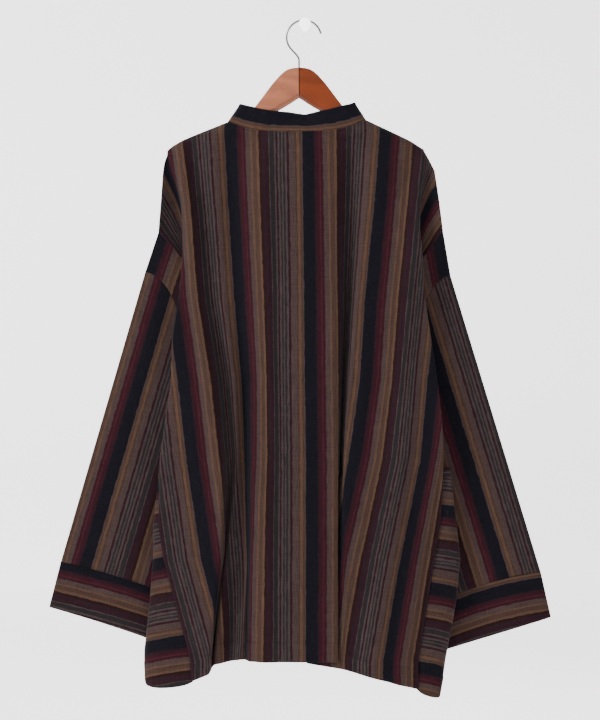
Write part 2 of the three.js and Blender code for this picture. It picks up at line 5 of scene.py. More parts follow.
import bpy
import numpy as np
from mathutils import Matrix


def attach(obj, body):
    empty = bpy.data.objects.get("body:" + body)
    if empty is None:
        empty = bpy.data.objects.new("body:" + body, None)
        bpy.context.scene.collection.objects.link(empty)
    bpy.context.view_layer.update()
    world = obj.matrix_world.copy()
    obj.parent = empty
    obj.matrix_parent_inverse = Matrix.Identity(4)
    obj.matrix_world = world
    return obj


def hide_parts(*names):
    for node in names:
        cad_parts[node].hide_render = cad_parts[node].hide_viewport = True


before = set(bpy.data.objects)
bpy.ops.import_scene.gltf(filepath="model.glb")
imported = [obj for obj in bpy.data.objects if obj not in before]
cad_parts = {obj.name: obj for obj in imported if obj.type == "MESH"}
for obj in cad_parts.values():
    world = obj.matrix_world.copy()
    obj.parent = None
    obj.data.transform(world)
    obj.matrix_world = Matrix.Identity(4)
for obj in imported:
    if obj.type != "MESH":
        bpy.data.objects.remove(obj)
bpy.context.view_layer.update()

bl_info = {
    "name": "Striped kurta",
    "version": (1, 0, 0),
    "blender": (4, 5, 0),
    "location": "View3D > Sidebar > Kurta",
    "description": "Sews a striped kurta, hangs it on a wooden hanger and sets its stage",
    "category": "Object",
}

MM = 0.001
BODY_NAME = "root"

# ---------------------------------------------------------------- cut and hang of the garment
LAP = 1.5                  # between the middles of two layers that lie on each other
BACK_WIDTH = 663.0
FRONT_WIDTH = 560.0
BACK_LENGTH = 930.0
FRONT_LENGTH = 900.0
COLLAR_LENGTH = 560.0
CUFF_ROUND = 540.0
CENTRE_LINE = 323.0        # the pressed line down the back panel's middle
FACE_SPREAD = 240.0        # how far out the body still thins towards its sides
FRONT_NECK_Y = -17.0
FRONT_ARMHOLE_Y = -11.0
FRONT_LOW_Z = -1110.0      # where the front's columns have come to hang plumb
FIXED_CUT = 330.0          # the place on the back panel whose path is known
UNDERARM_Z = -540.0
CORNER_Z = -353.0          # the shoulder's outer corner, where the armhole starts
GORE_TOP_Z = -761.0
GORE_TOP_WIDTH = 8.0
GORE_HEM_WIDTH = 122.0
FOLD_ROOM = 38.0           # the deepest that a fold reaches towards the wall
CREASE_SOFT = 5.0
HEM_DEPTH = 33.0           # from the hem's edge to its stitching
COLLAR_HEIGHT = 35.0

HANGER_X = -10.0
HANGER_Y = -34.0
ARM_REACH = 213.0
ARM_SWEEP = 15.0
BESIDE_ARM = 9.0           # from an arm's middle to the middle of cloth hanging beside it
WIRE_RADIUS = 1.7
HOOK_RADIUS = 29.6
PEG_RADIUS = 5.5
PEG_HEAD_RADIUS = 10.0
PEG_LENGTH = 46.0

HANDS = (("left", -1), ("right", 1))
SEEDS = {"back": 3, "front": 8, "gore": 11, "upper": 21, "sleeve": 31, "cuff": 41}
# how many points each piece has across or round, and down
COUNTS = {"collar": (220, 14), "gore": (44, 90), "upper": (120, 22), "sleeve": (130, 130),
          "cuff": (140, 26)}

NECK = {"left": 202.0, "right": 440.0, "back_drop": 20.0, "front_drop": 88.0}
TIPS = {"left": 88.0, "right": 558.0, "run": 24.0}
SLIT = {"top": -240.0, "bottom": -510.0, "wide": 13.0, "narrow": 3.0}
FRONT_HEM = {"left": -1108.0, "right": -1116.0, "rise": 50.0}
GORE_HEM = {
    "left": {"back": -1120.0, "front": -1108.0, "dip": 15.0},
    "right": {"back": -1133.0, "front": -1116.0, "dip": 20.0},
}


def table(columns, rows):
    """A table with named columns, as arrays."""
    names = columns.split()
    return {name: np.array([row[i] for row in rows], float) for i, name in enumerate(names)}


def column(rows, name, place, key="z"):
    """A column's value at a height or cut, straight between rows."""
    keys, values = rows[key], rows[name]
    if keys[0] > keys[-1]:
        keys, values = keys[::-1], values[::-1]
    return np.interp(place, keys, values)


SHOULDER = table("cut z", [
    (0, -353), (32, -302), (65, -251), (76, -231), (90, -217), (105, -206), (119, -199), (206, -165),
    (440, -163), (517, -198.5), (541, -213), (577, -251), (621, -302), (663, -353),
])
HEM = table("cut z", [
    (0, -1120), (34, -1106), (104, -1092), (175, -1084), (384, -1086), (455, -1092),
    (527, -1099), (600, -1118), (663, -1133),
])
FOLD_HEIGHTS = [-190, -302, -472, -608, -744, -914, -1084]
FOLDS = [
    {"name": "shoulder swell", "way": -1, "room": 8, "rise": 0,
     "start": [100] * 7, "wide": [40] * 7, "slack": [3, 11, 8, 4, 4, 2, 0]},
    {"name": "left pleat", "way": 1, "room": 17, "rise": 15,
     "start": [126, 126, 126, 129, 128, 97, 31], "wide": [51, 51, 51, 51, 51, 44, 68],
     "slack": [0, 3, 7, 15, 21, 32, 60]},
    {"name": "left hem hollow", "way": 1, "room": 8, "rise": 3,
     "start": [180, 180, 180, 180, 165, 140, 106], "wide": [60, 60, 60, 60, 60, 66, 69],
     "slack": [0, 0, 0, 2, 4, 6, 29]},
    {"name": "rise at the second dark stripe", "way": 1, "room": 10, "rise": -18,
     "start": [175] * 7, "wide": [58] * 7, "slack": [0, 3, 5, 12, 19, 40, 42]},
    {"name": "swell beside the middle", "way": -1, "room": 8, "rise": 0,
     "start": [233] * 7, "wide": [56] * 7, "slack": [0, 3, 10, 15, 14, 7, 3]},
    {"name": "middle pleat", "way": 1, "room": FOLD_ROOM, "rise": 0,
     "start": [384] * 7, "wide": [68, 68, 68, 61, 71, 110, 143],
     "slack": [0, 10, 29, 39, 60, 99, 129]},
    {"name": "right swell", "way": -1, "room": 9, "rise": 0,
     "start": [520, 515, 505, 500, 505, 530, 530], "wide": [50, 50, 70, 90, 90, 90, 90],
     "slack": [0, 8, 9, 18, 10, 8, 8]},
    {"name": "right edge swell", "way": -1, "room": 7, "rise": 0,
     "start": [600, 600, 600, 600, 598, 598, 598], "wide": [58] * 7,
     "slack": [0, 0, 0, 0, 15, 7, 5]},
]
FOLD_TABLES = [
    table("z start wide slack", list(zip(FOLD_HEIGHTS, f["start"], f["wide"], f["slack"])))
    for f in FOLDS
]
SIDES = table("z ridge_left ridge_right share inward hollow outward deep", [
    (-190, 91, 122, 0.5, 0, 0, 0, 0),
    (-216, 91, 122, 0.5, 0, 0, 0, 0),
    (-251, 100, 121, 0.42, -8, 7, 21, 4),
    (-302, 100, 119, 0.36, -2, 18, 33, 6),
    (-353, 98, 112, 0.38, 6, 21, 39, 9),
    (-404, 95, 100, 0.42, 14, 19, -4, 17),
    (-472, 83, 87, 0.5, 24, 12, -37, 20),
    (-540, 62, 68, 0.5, 26, 10, -50, 17),
    (-608, 51, 49, 0.5, 22, 8, -44, 14),
    (-676, 33, 31, 0.5, 14, 6, -27, 11),
    (-744, 17, 12, 0.5, 6, 4, -11, 7),
    (-800, 8, 3, 0.5, 2, 2, -4, 3),
    (-854, 0.5, 0.5, 0.5, 0, 0, 0, 0),
    (-1170, 0.5, 0.5, 0.5, 0, 0, 0, 0),
])
BODY = table("z fixed_x back back_side front front_side", [
    (-120, -5, 43, 27, 25, 11),
    (-190, -5, 44, 29, 24, 11),
    (-302, -3.4, 47, 33, 16, 13),
    (-472, -1, 50, 42, 14, 18),
    (-744, 1.7, 58, 47, 16, 20.5),
    (-1084, 1.7, 72, 54, 18, 20.5),
    (-1170, 1.7, 74, 55, 18, 20.5),
])
GORE_CREASES = table("z left right", [
    (-761, -249, 248), (-854, -258, 258), (-914, -258, 263.5), (-987, -264, 257),
    (-1070, -272, 241.4), (-1118, -272, 233), (-1160, -272, 222),
])
SLEEVES = {
    "left": {
        "side": -1,
        "top": {"outer": (-274.7, -422.5), "bend": (-219.3, -431), "inner": (-194, -590)},
        "wrist": {"outer": (-420.2, -922), "bend": (-297.5, -947), "inner": (-173.4, -1002)},
        "end": {"outer": (-440, -999.6), "bend": (-306, -1036), "inner": (-173.4, -1090)},
    },
    "right": {
        "side": 1,
        "top": {"outer": (250.4, -429), "bend": (202.3, -431), "inner": (178, -590)},
        "wrist": {"outer": (406, -940), "bend": (289, -953), "inner": (161.5, -1026)},
        "end": {"outer": (423.3, -1017), "bend": (297.5, -1055), "inner": (161.5, -1097)},
    },
}
SLEEVE_DEPTH = -9.8
SLEEVE_HALF = 6.0

# Where each piece lies in the stripe repeat: the stripe's place at the start edge, in
# millimetres from where the navy starts, and which way it runs.
STRIPE_REPEAT = 132.6
PHASES = {
    "back": {"start": -64.6, "way": 1},
    "front": {"start": -88.0, "way": 1},
    "sleeve_left": {"start": 52.7, "way": -1},
    "sleeve_right": {"start": 78.2, "way": 1},
    "upper_left": {"start": 3.0, "way": 1},
    "upper_right": {"start": 1.0, "way": 1},
    "cuff_left": {"start": 7.6, "way": 1},
    "cuff_right": {"start": -8.5, "way": 1},
    "gore_left": {"start": -909.0, "way": 1},
    "gore_right": {"start": -820.0, "way": 1},
}
GORE_TILT = 0.30

# The stripe repeat, by where each band ends, as the warp is set up.
STRIPES = [
    ("navy", 20.2), ("wine", 24.0), ("crimson", 28.2), ("rose", 30.8), ("crimson", 35.0),
    ("taupe", 43.0), ("straw", 46.2), ("tan", 54.0), ("straw", 58.2), ("umber", 63.5),
    ("plum", 74.8),
    ("mist", 76.6), ("slate", 84.0), ("mist", 87.1), ("wine", 90.2), ("mist", 94.0),
    ("slate", 96.8), ("mist", 99.2), ("slate", 102.1), ("mist", 105.7), ("wine", 109.3),
    ("taupe", 119.8), ("brown", 122.4), ("straw", 127.4), ("tan", 130.4), ("taupe", 132.6),
]

# Creases pressed or hung into the cloth, from one place to another: across the panel and in
# height, with their height above the cloth (or depth, if negative) and half width.
CREASE = "c0 z0 c1 z1 high wide"
BACK_CREASES = table(CREASE, [
    (112, -222, 124, -420, 2.2, 9), (128, -216, 150, -330, -1.8, 8),
    (150, -205, 171, -300, 1.2, 9), (536, -222, 520, -400, 2.0, 9),
    (515, -215, 500, -330, -1.6, 8), (486, -203, 478, -290, 1.1, 8),
    (250, -190, 262, -330, -1.0, 12), (300, -192, 318, -520, 1.0, 14),
    (398, -190, 388, -330, 1.4, 10), (420, -190, 412, -300, -1.2, 9),
    (205, -470, 196, -760, -1.4, 10), (214, -690, 236, -1040, 1.5, 9),
    (268, -560, 276, -1010, -1.3, 12), (322, -600, 326, -1075, 1.0, 3),
    (352, -700, 346, -1070, -1.3, 9), (452, -470, 462, -800, 1.4, 11),
    (484, -620, 498, -980, -1.6, 10), (560, -560, 548, -930, 1.5, 11),
    (596, -800, 586, -1085, -1.3, 8), (92, -640, 86, -900, 1.3, 9),
    (58, -800, 66, -1060, -1.6, 9), (128, -880, 134, -1075, 1.4, 8),
    (30, -900, 40, -1090, 1.2, 7), (420, -860, 432, -1075, 1.3, 9),
    (640, -900, 634, -1100, 1.1, 7),
])
FRONT_CREASES = table(CREASE, [
    (120, -225, 150, -430, 2.0, 10), (160, -215, 190, -330, -1.5, 9),
    (540, -225, 510, -420, 2.1, 10), (505, -215, 478, -340, -1.4, 9),
    (215, -300, 236, -620, 1.8, 12), (430, -310, 414, -600, 1.7, 12),
    (262, -420, 270, -900, -1.8, 11), (388, -460, 380, -930, -1.7, 11),
    (180, -560, 172, -1000, 1.8, 12), (470, -600, 486, -1020, 1.6, 12),
    (100, -700, 92, -1090, 1.5, 10), (560, -690, 572, -1100, 1.5, 10),
    (300, -620, 290, -1080, 1.6, 8), (350, -640, 362, -1090, 1.5, 9),
    (60, -430, 96, -620, -2.2, 10), (604, -430, 566, -620, -2.2, 10),
])
SLEEVE_CREASES = table(CREASE, [
    (36, 20, 52, 300, 1.8, 12), (72, 60, 86, 430, -1.9, 12), (104, 10, 128, 330, 1.7, 11),
    (150, 120, 160, 470, -1.6, 12), (20, 250, 26, 500, 1.2, 8), (196, 150, 210, 520, 1.5, 13),
    (118, 330, 112, 540, 1.4, 9), (58, 380, 66, 540, -1.1, 8),
])
GORE_CREASES_LAID = table(CREASE, [
    (30, -900, 42, -1100, 1.2, 8), (76, -930, 84, -1120, -1.2, 8), (54, -840, 60, -1000, 0.9, 7),
])


def mix(a, b, share):
    return a + (b - a) * share


def soft(value):
    t = np.clip(value, 0, 1)
    return t * t * (3 - 2 * t)


def xyz(x, y, z):
    return np.stack(np.broadcast_arrays(x, y, z), axis=-1).astype(float)


# ---------------------------------------------------------------- the surfaces
def neck_across(cut):
    half = (NECK["right"] - NECK["left"]) / 2
    return np.clip(np.abs(cut - NECK["left"] - half) / half, 0, 1)


def shoulder_height(cut):
    return column(SHOULDER, "z", cut, key="cut")


def top_height(cut):
    return shoulder_height(cut) - NECK["back_drop"] * (1 - neck_across(cut) ** 3)


def hem_height(cut):
    return column(HEM, "z", cut, key="cut")


def arm_depth(x):
    return HANGER_Y + ARM_SWEEP * np.clip(np.abs(x - HANGER_X) / ARM_REACH, 0, 1)


def edge_cut(z, side):
    """The cut at which the panel's side lies at a height, measured from its own seam."""
    n = 4
    if side < 0:
        rows = {"z": SHOULDER["z"][:n], "own": SHOULDER["cut"][:n]}
    else:
        rows = {"z": SHOULDER["z"][::-1][:n], "own": BACK_WIDTH - SHOULDER["cut"][::-1][:n]}
    return np.where(z <= CORNER_Z, 0.0, column(rows, "own", z))


def fold_shape(cut, z):
    taken = np.zeros(np.broadcast(cut, z).shape)
    depth = np.zeros_like(taken)
    for fold, rows in zip(FOLDS, FOLD_TABLES):
        start, wide, slack = (column(rows, name, z) for name in ("start", "wide", "slack"))
        share = np.clip((cut - start) / wide, 0, 1)
        bump = np.sin(np.pi * share) ** 2
        flank = np.sqrt(np.maximum(wide ** 2 - (wide - slack) ** 2, 0)) / 2
        deep = np.minimum(flank, fold["room"])
        tucks = fold["way"] > 0 and fold["room"] > 30
        tuck = np.sqrt(np.maximum(flank ** 2 - deep ** 2, 0)) if tucks else 0.0
        taken = taken + slack * share + tuck * bump
        grown = np.clip(-(z + 250) / 700, 0, 1)
        depth = depth + fold["way"] * deep * bump + fold["rise"] * grown * soft(share)
    return taken, depth


def face_point(cut, z):
    taken, depth = fold_shape(cut, z)
    fixed_taken, fixed_depth = fold_shape(np.full(np.shape(z), FIXED_CUT), z)
    x = column(BODY, "fixed_x", z) + cut - FIXED_CUT - taken + fixed_taken
    off = np.clip(np.abs(x - HANGER_X) / FACE_SPREAD, 0, 1) ** 2
    y = -mix(column(BODY, "back", z), column(BODY, "back_side", z), off)
    return xyz(x, y + depth - fixed_depth, z)


def bend_through(q, share, middle, end):
    """Through 0, middle (at share) and end (at 1), as one smooth bend."""
    a = (q * (1 - q)) / (share * (1 - share))
    b = (q * (q - share)) / (1 - share)
    return a * middle + b * end


def raw_back_point(cut, z):
    cut, z = np.broadcast_arrays(np.asarray(cut, float), np.asarray(z, float))
    left = cut < BACK_WIDTH / 2
    side = np.where(left, -1.0, 1.0)
    own = np.where(left, cut, BACK_WIDTH - cut)
    ridge = np.where(left, column(SIDES, "ridge_left", z), column(SIDES, "ridge_right", z))
    edge = np.where(left, edge_cut(z, -1), edge_cut(z, 1))
    turned = own < ridge
    place = np.where(turned, np.where(left, ridge, BACK_WIDTH - ridge), cut)
    point = face_point(place, z)
    q = np.clip((ridge - own) / np.maximum(ridge - edge, 1), 0, 1)
    share = column(SIDES, "share", z)
    out = bend_through(q, share, -column(SIDES, "inward", z), column(SIDES, "outward", z))
    deep = bend_through(q, share, column(SIDES, "hollow", z), column(SIDES, "deep", z))
    point[..., 0] += np.where(turned, side * out, 0)
    point[..., 1] += np.where(turned, deep, 0)
    return point


def beside_arm(drop):
    return BESIDE_ARM * np.sqrt(1 - np.exp(-drop / 3))


def back_point(cut, z):
    """A point on the back panel, its creases rounded and its top laid over the hanger."""
    cut, z = np.broadcast_arrays(np.asarray(cut, float), np.asarray(z, float))
    low = np.where(z > CORNER_Z, edge_cut(z, -1), 0)
    high = np.where(z > CORNER_Z, BACK_WIDTH - edge_cut(z, 1), BACK_WIDTH)
    reach = np.maximum(np.minimum(CREASE_SOFT, np.minimum(cut - low, high - cut)), 0)
    point = np.zeros(cut.shape + (3,))
    for step, weight in ((-1, 1), (-0.5, 2), (0, 2), (0.5, 2), (1, 1)):
        point += raw_back_point(cut + step * reach, z) * weight / 8
    drop = np.maximum(top_height(cut) - z, 0)
    settled = np.sqrt(1 - np.exp(-drop / 6))
    neck_drop = shoulder_height(cut) - top_height(cut)
    on_arm = soft(np.minimum(cut - TIPS["left"], TIPS["right"] - cut) / TIPS["run"])
    start = mix(point[..., 1] + 1, arm_depth(point[..., 0]) - beside_arm(neck_drop), on_arm) - 1
    point[..., 1] = mix(start, point[..., 1], settled)
    return point


def gore_width(z):
    share = (GORE_TOP_Z - z) / (GORE_TOP_Z - GORE_HEM["left"]["back"])
    return mix(GORE_TOP_WIDTH, GORE_HEM_WIDTH, share)


def gore_hem(share, hem):
    inside = np.clip(share, 0, 1)
    shown = np.clip(inside * 1.6, 0, 1)
    return mix(hem["back"], hem["front"], inside) - hem["dip"] * np.sqrt(np.abs(np.sin(np.pi * shown)))


def gore_ends(z, side):
    cut = np.full(np.shape(z), 0.0 if side < 0 else BACK_WIDTH)
    back = back_point(cut, z)
    crease = column(GORE_CREASES, "left" if side < 0 else "right", z)
    shown = np.abs(crease - back[..., 0])
    x = crease - side * np.maximum(gore_width(z) - shown, 3)
    joined = back.copy()
    joined[..., 1] += steep_lap(cut, z)
    apart = soft((GORE_TOP_Z - np.asarray(z, float)) / 110)[..., None]
    return back, crease, mix(joined, xyz(x, -column(BODY, "front_side", z), z), apart)


def gore_point(share, z, side):
    back, crease, front = gore_ends(z, side)
    pull = 2 * crease - (back[..., 0] + front[..., 0]) / 2
    x = (1 - share) ** 2 * back[..., 0] + 2 * share * (1 - share) * pull + share ** 2 * front[..., 0]
    y = mix(back[..., 1] + LAP, front[..., 1] - LAP, soft(share))
    return xyz(x, y, z)


def steep_lap(cut, z):
    """The lap between the panels at an edge, wider where the back panel turns steeply."""
    edge = back_point(cut, z)
    inner = back_point(cut + np.where(cut < BACK_WIDTH / 2, 4.0, -4.0), z - 2)
    run = np.maximum(np.abs(edge[..., 0] - inner[..., 0]), 1)
    slope = (edge[..., 1] - inner[..., 1]) / run
    return LAP * np.minimum(np.hypot(1.3, slope), 2.5)


def front_edge(z, side):
    z = np.asarray(z, float)
    own = edge_cut(z, side)
    along = own if side < 0 else BACK_WIDTH - own
    point = back_point(along, z)
    opened = soft((CORNER_Z - z) / 70) * soft((z - UNDERARM_Z) / 90)
    point[..., 1] = mix(point[..., 1] + steep_lap(along, z), FRONT_ARMHOLE_Y, opened)
    return np.where((z < GORE_TOP_Z)[..., None], gore_ends(z, side)[2], point)


def front_top(along):
    along = np.asarray(along, float)
    point = back_point(along, top_height(along))
    across = neck_across(along)
    in_neck = (along > NECK["left"]) & (along < NECK["right"])
    drop = NECK["front_drop"] * np.sqrt(1 - across ** 2.4)
    past = (along < TIPS["left"] + TIPS["run"]) | (along > TIPS["right"] - TIPS["run"])
    lap = np.where(past, steep_lap(along, top_height(along)), LAP)
    lying = arm_depth(point[..., 0]) + 1.2 + beside_arm(drop)
    throat = mix(FRONT_NECK_Y, lying, across ** 2)
    point[..., 1] = np.where(in_neck, throat, point[..., 1] + lap)
    point[..., 2] = np.where(in_neck, shoulder_height(along) - drop, point[..., 2])
    return point


def front_hem(share):
    rise = FRONT_HEM["rise"] * np.sqrt(np.abs(np.sin(np.pi * share)))
    return mix(FRONT_HEM["left"], FRONT_HEM["right"], share) + rise


def front_point(along, z):
    along, z = np.broadcast_arrays(np.asarray(along, float), np.asarray(z, float))
    share = along / BACK_WIDTH
    top = front_top(along)
    drop = np.maximum(top[..., 2] - z, 0)
    left, right = front_edge(z, -1), front_edge(z, 1)
    from_edge = np.minimum(share, 1 - share)
    near_edge = np.maximum((1 - soft(from_edge / 0.1)) * soft(drop / 30), 1 - soft(from_edge / 0.01))
    turned = np.maximum(soft(drop / 150), near_edge)
    x = mix(top[..., 0], mix(left[..., 0], right[..., 0], share), turned)
    low = [front_edge(np.full(1, FRONT_HEM[name]), side)[0, 0] for name, side in HANDS]
    fallen = np.clip(drop / (top[..., 2] - FRONT_LOW_Z), 0, 1)
    plumb = mix(top[..., 0], mix(low[0], low[1], share), fallen)
    x = mix(plumb, x, np.exp(-(from_edge / 0.15) ** 2))
    away = np.abs(x - HANGER_X)
    y = -mix(column(BODY, "front", z), column(BODY, "front_side", z), soft((away - 70) / 70))
    grown = np.clip((-330 - z) / 750, 0, 1) * (1 - soft((away - 85) / 40))
    y = y + 8 * grown * np.sin(2 * np.pi * (5.5 * share + 0.35 * np.sin(5 * share + z / 400)))
    y = mix(arm_depth(x) + 11.5, y, soft((drop - 30) / 120))
    edge_y = np.where(share < 0.5, left[..., 1], right[..., 1])
    y = mix(edge_y, y, 1 - np.exp(-from_edge * 160))
    y = mix(top[..., 1], y, np.sqrt(1 - np.exp(-drop / 6)))
    return xyz(x, y, z)


def ring_point(ring, turn):
    around = 2 * np.pi * turn
    t = (1 - np.cos(around)) / 2
    a, b, c = ring["outer"], ring["bend"], ring["inner"]
    x, z = ((1 - t) ** 2 * a[k] + 2 * t * (1 - t) * b[k] + t ** 2 * c[k] for k in (0, 1))
    bulge = np.sign(np.sin(around)) * np.sqrt(np.abs(np.sin(around)))
    return xyz(x, SLEEVE_DEPTH - SLEEVE_HALF * bulge, z)


def armhole_point(side, turn):
    t = (1 - np.cos(2 * np.pi * turn)) / 2
    z = mix(CORNER_Z - 1, UNDERARM_Z, t)
    back = back_point(np.full(z.shape, 0.0 if side < 0 else BACK_WIDTH), z)
    front = front_edge(z, side)
    back[..., 1] += LAP * (1 + t ** 6)
    front[..., 1] += LAP * 1.5
    point = np.where((turn > 0.5)[..., None], front, back)
    point[..., 0] += side * (0.4 + 3 * t ** 4)
    return point


def collar_base(share):
    front_part = 0.27
    gap = SLIT["wide"] / 2 + 1
    middle = (NECK["left"] + NECK["right"]) / 2
    left = share < 0.5
    t = np.where(left, share, 1 - share) / front_part
    end = np.where(left, NECK["left"], NECK["right"])
    start = np.where(left, middle - gap, middle + gap)
    front = front_top(mix(start, end, np.sin(np.clip(t, 0, 1) * np.pi / 2)))
    along = mix(NECK["left"], NECK["right"], np.clip((share - front_part) / (1 - 2 * front_part), 0, 1))
    back = back_point(along, top_height(along))
    return np.where((t < 1)[..., None], front, back)


def collar_point(share, v):
    base = collar_base(share)
    around = np.abs(share - 0.5) * 2
    nape = (base[..., 0] + 1) / 36
    lean = np.where(around > 0.46, -7 * soft((around - 0.46) / 0.5), 1.5 + 15.5 * np.exp(-nape ** 2))
    rounded = 1 - 0.13 * np.exp(-((around - 0.46) / 0.07) ** 2)
    rise = rounded * np.sqrt(COLLAR_HEIGHT ** 2 - lean ** 2)
    x = mix(base[..., 0], HANGER_X, 0.01 + 0.17 * v)
    return xyz(x, base[..., 1] + lean * v, base[..., 2] + rise * v)


# ---------------------------------------------------------------- cloth sheets
def normals_of(points, ring=False):
    """Unit normals of a grid of points, facing away from its turn from u to v."""
    if ring:
        across = np.roll(points, -1, 0) - np.roll(points, 1, 0)
    else:
        across = np.gradient(points, axis=0)
    down = np.gradient(points, axis=1)
    normal = np.cross(across, down)
    return normal / np.maximum(np.linalg.norm(normal, axis=-1, keepdims=True), 1e-9)


def crease_heights(rows, cut, z):
    """The height that the laid creases add at each place of a panel."""
    total = np.zeros(np.broadcast(cut, z).shape)
    for c0, z0, c1, z1, high, wide in zip(*rows.values()):
        span = np.array([c1 - c0, z1 - z0])
        length = np.hypot(*span)
        along = ((cut - c0) * span[0] + (z - z0) * span[1]) / length ** 2
        off = ((cut - c0) * span[1] - (z - z0) * span[0]) / length
        off = off + 0.035 * length * np.sin(3.3 * along + c0)
        fade = soft(along / 0.28) * soft((1 - along) / 0.36)
        total = total + high * fade * np.exp(-(off / wide) ** 2)
    return total


def ripple(cut, z, seed):
    """The slight unevenness that handloom cloth keeps, in millimetres."""
    rng = np.random.default_rng(seed)
    total = np.zeros(np.broadcast(cut, z).shape)
    for size, high in ((150, 0.8), (95, 0.6), (60, 0.4), (38, 0.22), (24, 0.13)):
        for _ in range(3):
            angle = rng.normal(0, 0.45)
            phase, wobble = rng.uniform(0, 2 * np.pi, 2)
            along = cut * math.cos(angle) + z * math.sin(angle) * 0.5
            bend = 0.8 * np.sin(z / (size * 2.3) + wobble)
            total = total + high / 3 * np.sin(2 * np.pi * along / size + phase + bend)
    return total


def smooth_mesh(name, points, faces):
    """An object made of points (mm) and faces, shaded smooth, in the scene."""
    mesh = bpy.data.meshes.new(name)
    mesh.from_pydata((points * MM).tolist(), [], faces)
    mesh.polygons.foreach_set("use_smooth", np.ones(len(mesh.polygons), bool))
    piece = bpy.data.objects.new(name, mesh)
    bpy.context.scene.collection.objects.link(piece)
    return piece


def closed(marks, step=0.0):
    """A ring's flat places with its first column again at the end, a step further along."""
    last = marks[:1].copy()
    last[..., 1] += step
    return np.concatenate([marks, last])


def facing(turn):
    """Which way a flattened ring faces along Y, fading to nothing at its two edges."""
    return np.where(turn < 0.5, -1.0, 1.0) * np.sqrt(np.abs(np.sin(2 * np.pi * turn)))


def sheet_object(name, points, marks, thickness=None, ring=False, parted=None):
    """A cloth sheet from a grid of points (mm) and its flat places (m), given a thickness.

    parted marks the grid's cells that stay open, as in a slit.
    """
    nu, nv = points.shape[:2]
    spans = nu if ring else nu - 1
    kept = np.ones((spans, nv - 1), bool) if parted is None else ~parted
    i, j = np.nonzero(kept)
    corners = [(i, j), (i, j + 1), (i + 1, j + 1), (i + 1, j)]
    faces = np.stack([(a % nu) * nv + b for a, b in corners], axis=1)
    piece = smooth_mesh(name, points.reshape(-1, 3), faces.tolist())
    layer = piece.data.uv_layers.new(name="flat")
    flat = np.stack([marks[a, b] for a, b in corners], axis=1)
    layer.data.foreach_set("uv", flat.reshape(-1).astype(np.float32))
    piece.data.update()
    if thickness is None:
        thickness = props().cloth_thickness
    finish_with(piece, "SOLIDIFY", thickness=thickness, offset=0.0, use_rim=True,
                use_even_offset=False)
    return piece


def only(piece):
    """Makes a piece the only one selected."""
    bpy.ops.object.select_all(action="DESELECT")
    piece.select_set(True)
    bpy.context.view_layer.objects.active = piece


def finish_with(piece, kind, **settings):
    """Gives a piece a modifier and applies it."""
    only(piece)
    modifier = piece.modifiers.new(kind.title(), kind)
    for key, value in settings.items():
        setattr(modifier, key, value)
    bpy.ops.object.modifier_apply(modifier=modifier.name)


def edit_all():
    """Opens the active mesh for editing with all of it selected."""
    bpy.ops.object.mode_set(mode="EDIT")
    bpy.ops.mesh.select_all(action="SELECT")


def close_edit():
    """Turns every face outwards and leaves editing."""
    bpy.ops.mesh.select_all(action="SELECT")
    bpy.ops.mesh.normals_make_consistent(inside=False)
    bpy.ops.object.mode_set(mode="OBJECT")


def smooth_by(piece, degrees):
    """Shades a piece smooth where its faces meet at less than an angle."""
    only(piece)
    bpy.ops.object.shade_smooth_by_angle(angle=math.radians(degrees))


def dress(piece, finish, slot, *nodes):
    """Gives a piece its material and its body, and hides the imported parts that it stands for. The slot
    is not used.
    """
    piece.data.materials.clear()
    piece.data.materials.append(finish)
    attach(piece, BODY_NAME)
    if nodes:
        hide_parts(*nodes)


def grid(u_values, v_values):
    return np.meshgrid(u_values, v_values, indexing="ij")


def spread_over(counts, first, last):
    return np.linspace(first, last, counts[0]), np.linspace(0, 1, counts[1])


def ring_grid(counts, first_row=0.0):
    """Turns round a tube, the last one left out since it is the first again, by rows down it."""
    return grid(np.arange(counts[0]) / counts[0], np.linspace(first_row, 1, counts[1]))


def marks_of(across, along, phase):
    """Flat places in metres: the first is the stripe's place, the second runs along it."""
    place = phase["start"] + phase["way"] * across
    return np.stack(np.broadcast_arrays(place * MM, along * MM), axis=-1)


def hem_relief(to_edge, place):
    """The turned-up hem: a second layer, pulled in at its stitching and slightly puckered."""
    doubled = 0.5 * soft((HEM_DEPTH + 1.5 - to_edge) / 3)
    groove = -0.9 * np.exp(-((to_edge - HEM_DEPTH) / 1.8) ** 2)
    waver = np.sin(place / 2.3 + 2 * np.sin(place / 17))
    pucker = 0.3 * waver * np.exp(-((to_edge - HEM_DEPTH + 6) / 8) ** 2)
    roll = -0.5 * np.exp(-(to_edge / 2.0) ** 2)
    return doubled + groove + pucker + roll


def rows_down(count):
    """Rows down a panel: close together where it leaves the hanger, then even."""
    near = 0.06 * np.linspace(0, 1, 16) ** 1.6
    return np.concatenate([near, np.linspace(0.06, 1, count)[1:]])


def raised(points, height, ring=False):
    return points + normals_of(points, ring) * height[..., None]


def sewn_back(cut, v):
    """The finished back panel's outer surface, and its flat places."""
    top, hem = top_height(cut), hem_height(cut)
    z = mix(top, hem, v)
    points = back_point(cut, z)
    below = soft((top - z) / 26)
    height = crease_heights(BACK_CREASES, cut, z) + ripple(cut, z, SEEDS["back"])
    height = height * below + hem_relief(z - hem, cut)
    middle = 0.5 * np.exp(-((cut - CENTRE_LINE) / 1.4) ** 2) * below
    return points, height + middle, z


def sewn_front(cut, v):
    top, hem = front_top(cut)[..., 2], front_hem(cut / BACK_WIDTH)
    z = mix(top, hem, v)
    points = front_point(cut, z)
    height = crease_heights(FRONT_CREASES, cut, z) + 0.8 * ripple(cut, z, SEEDS["front"])
    return points, height * soft((top - z) / 26) + hem_relief(z - hem, cut), z


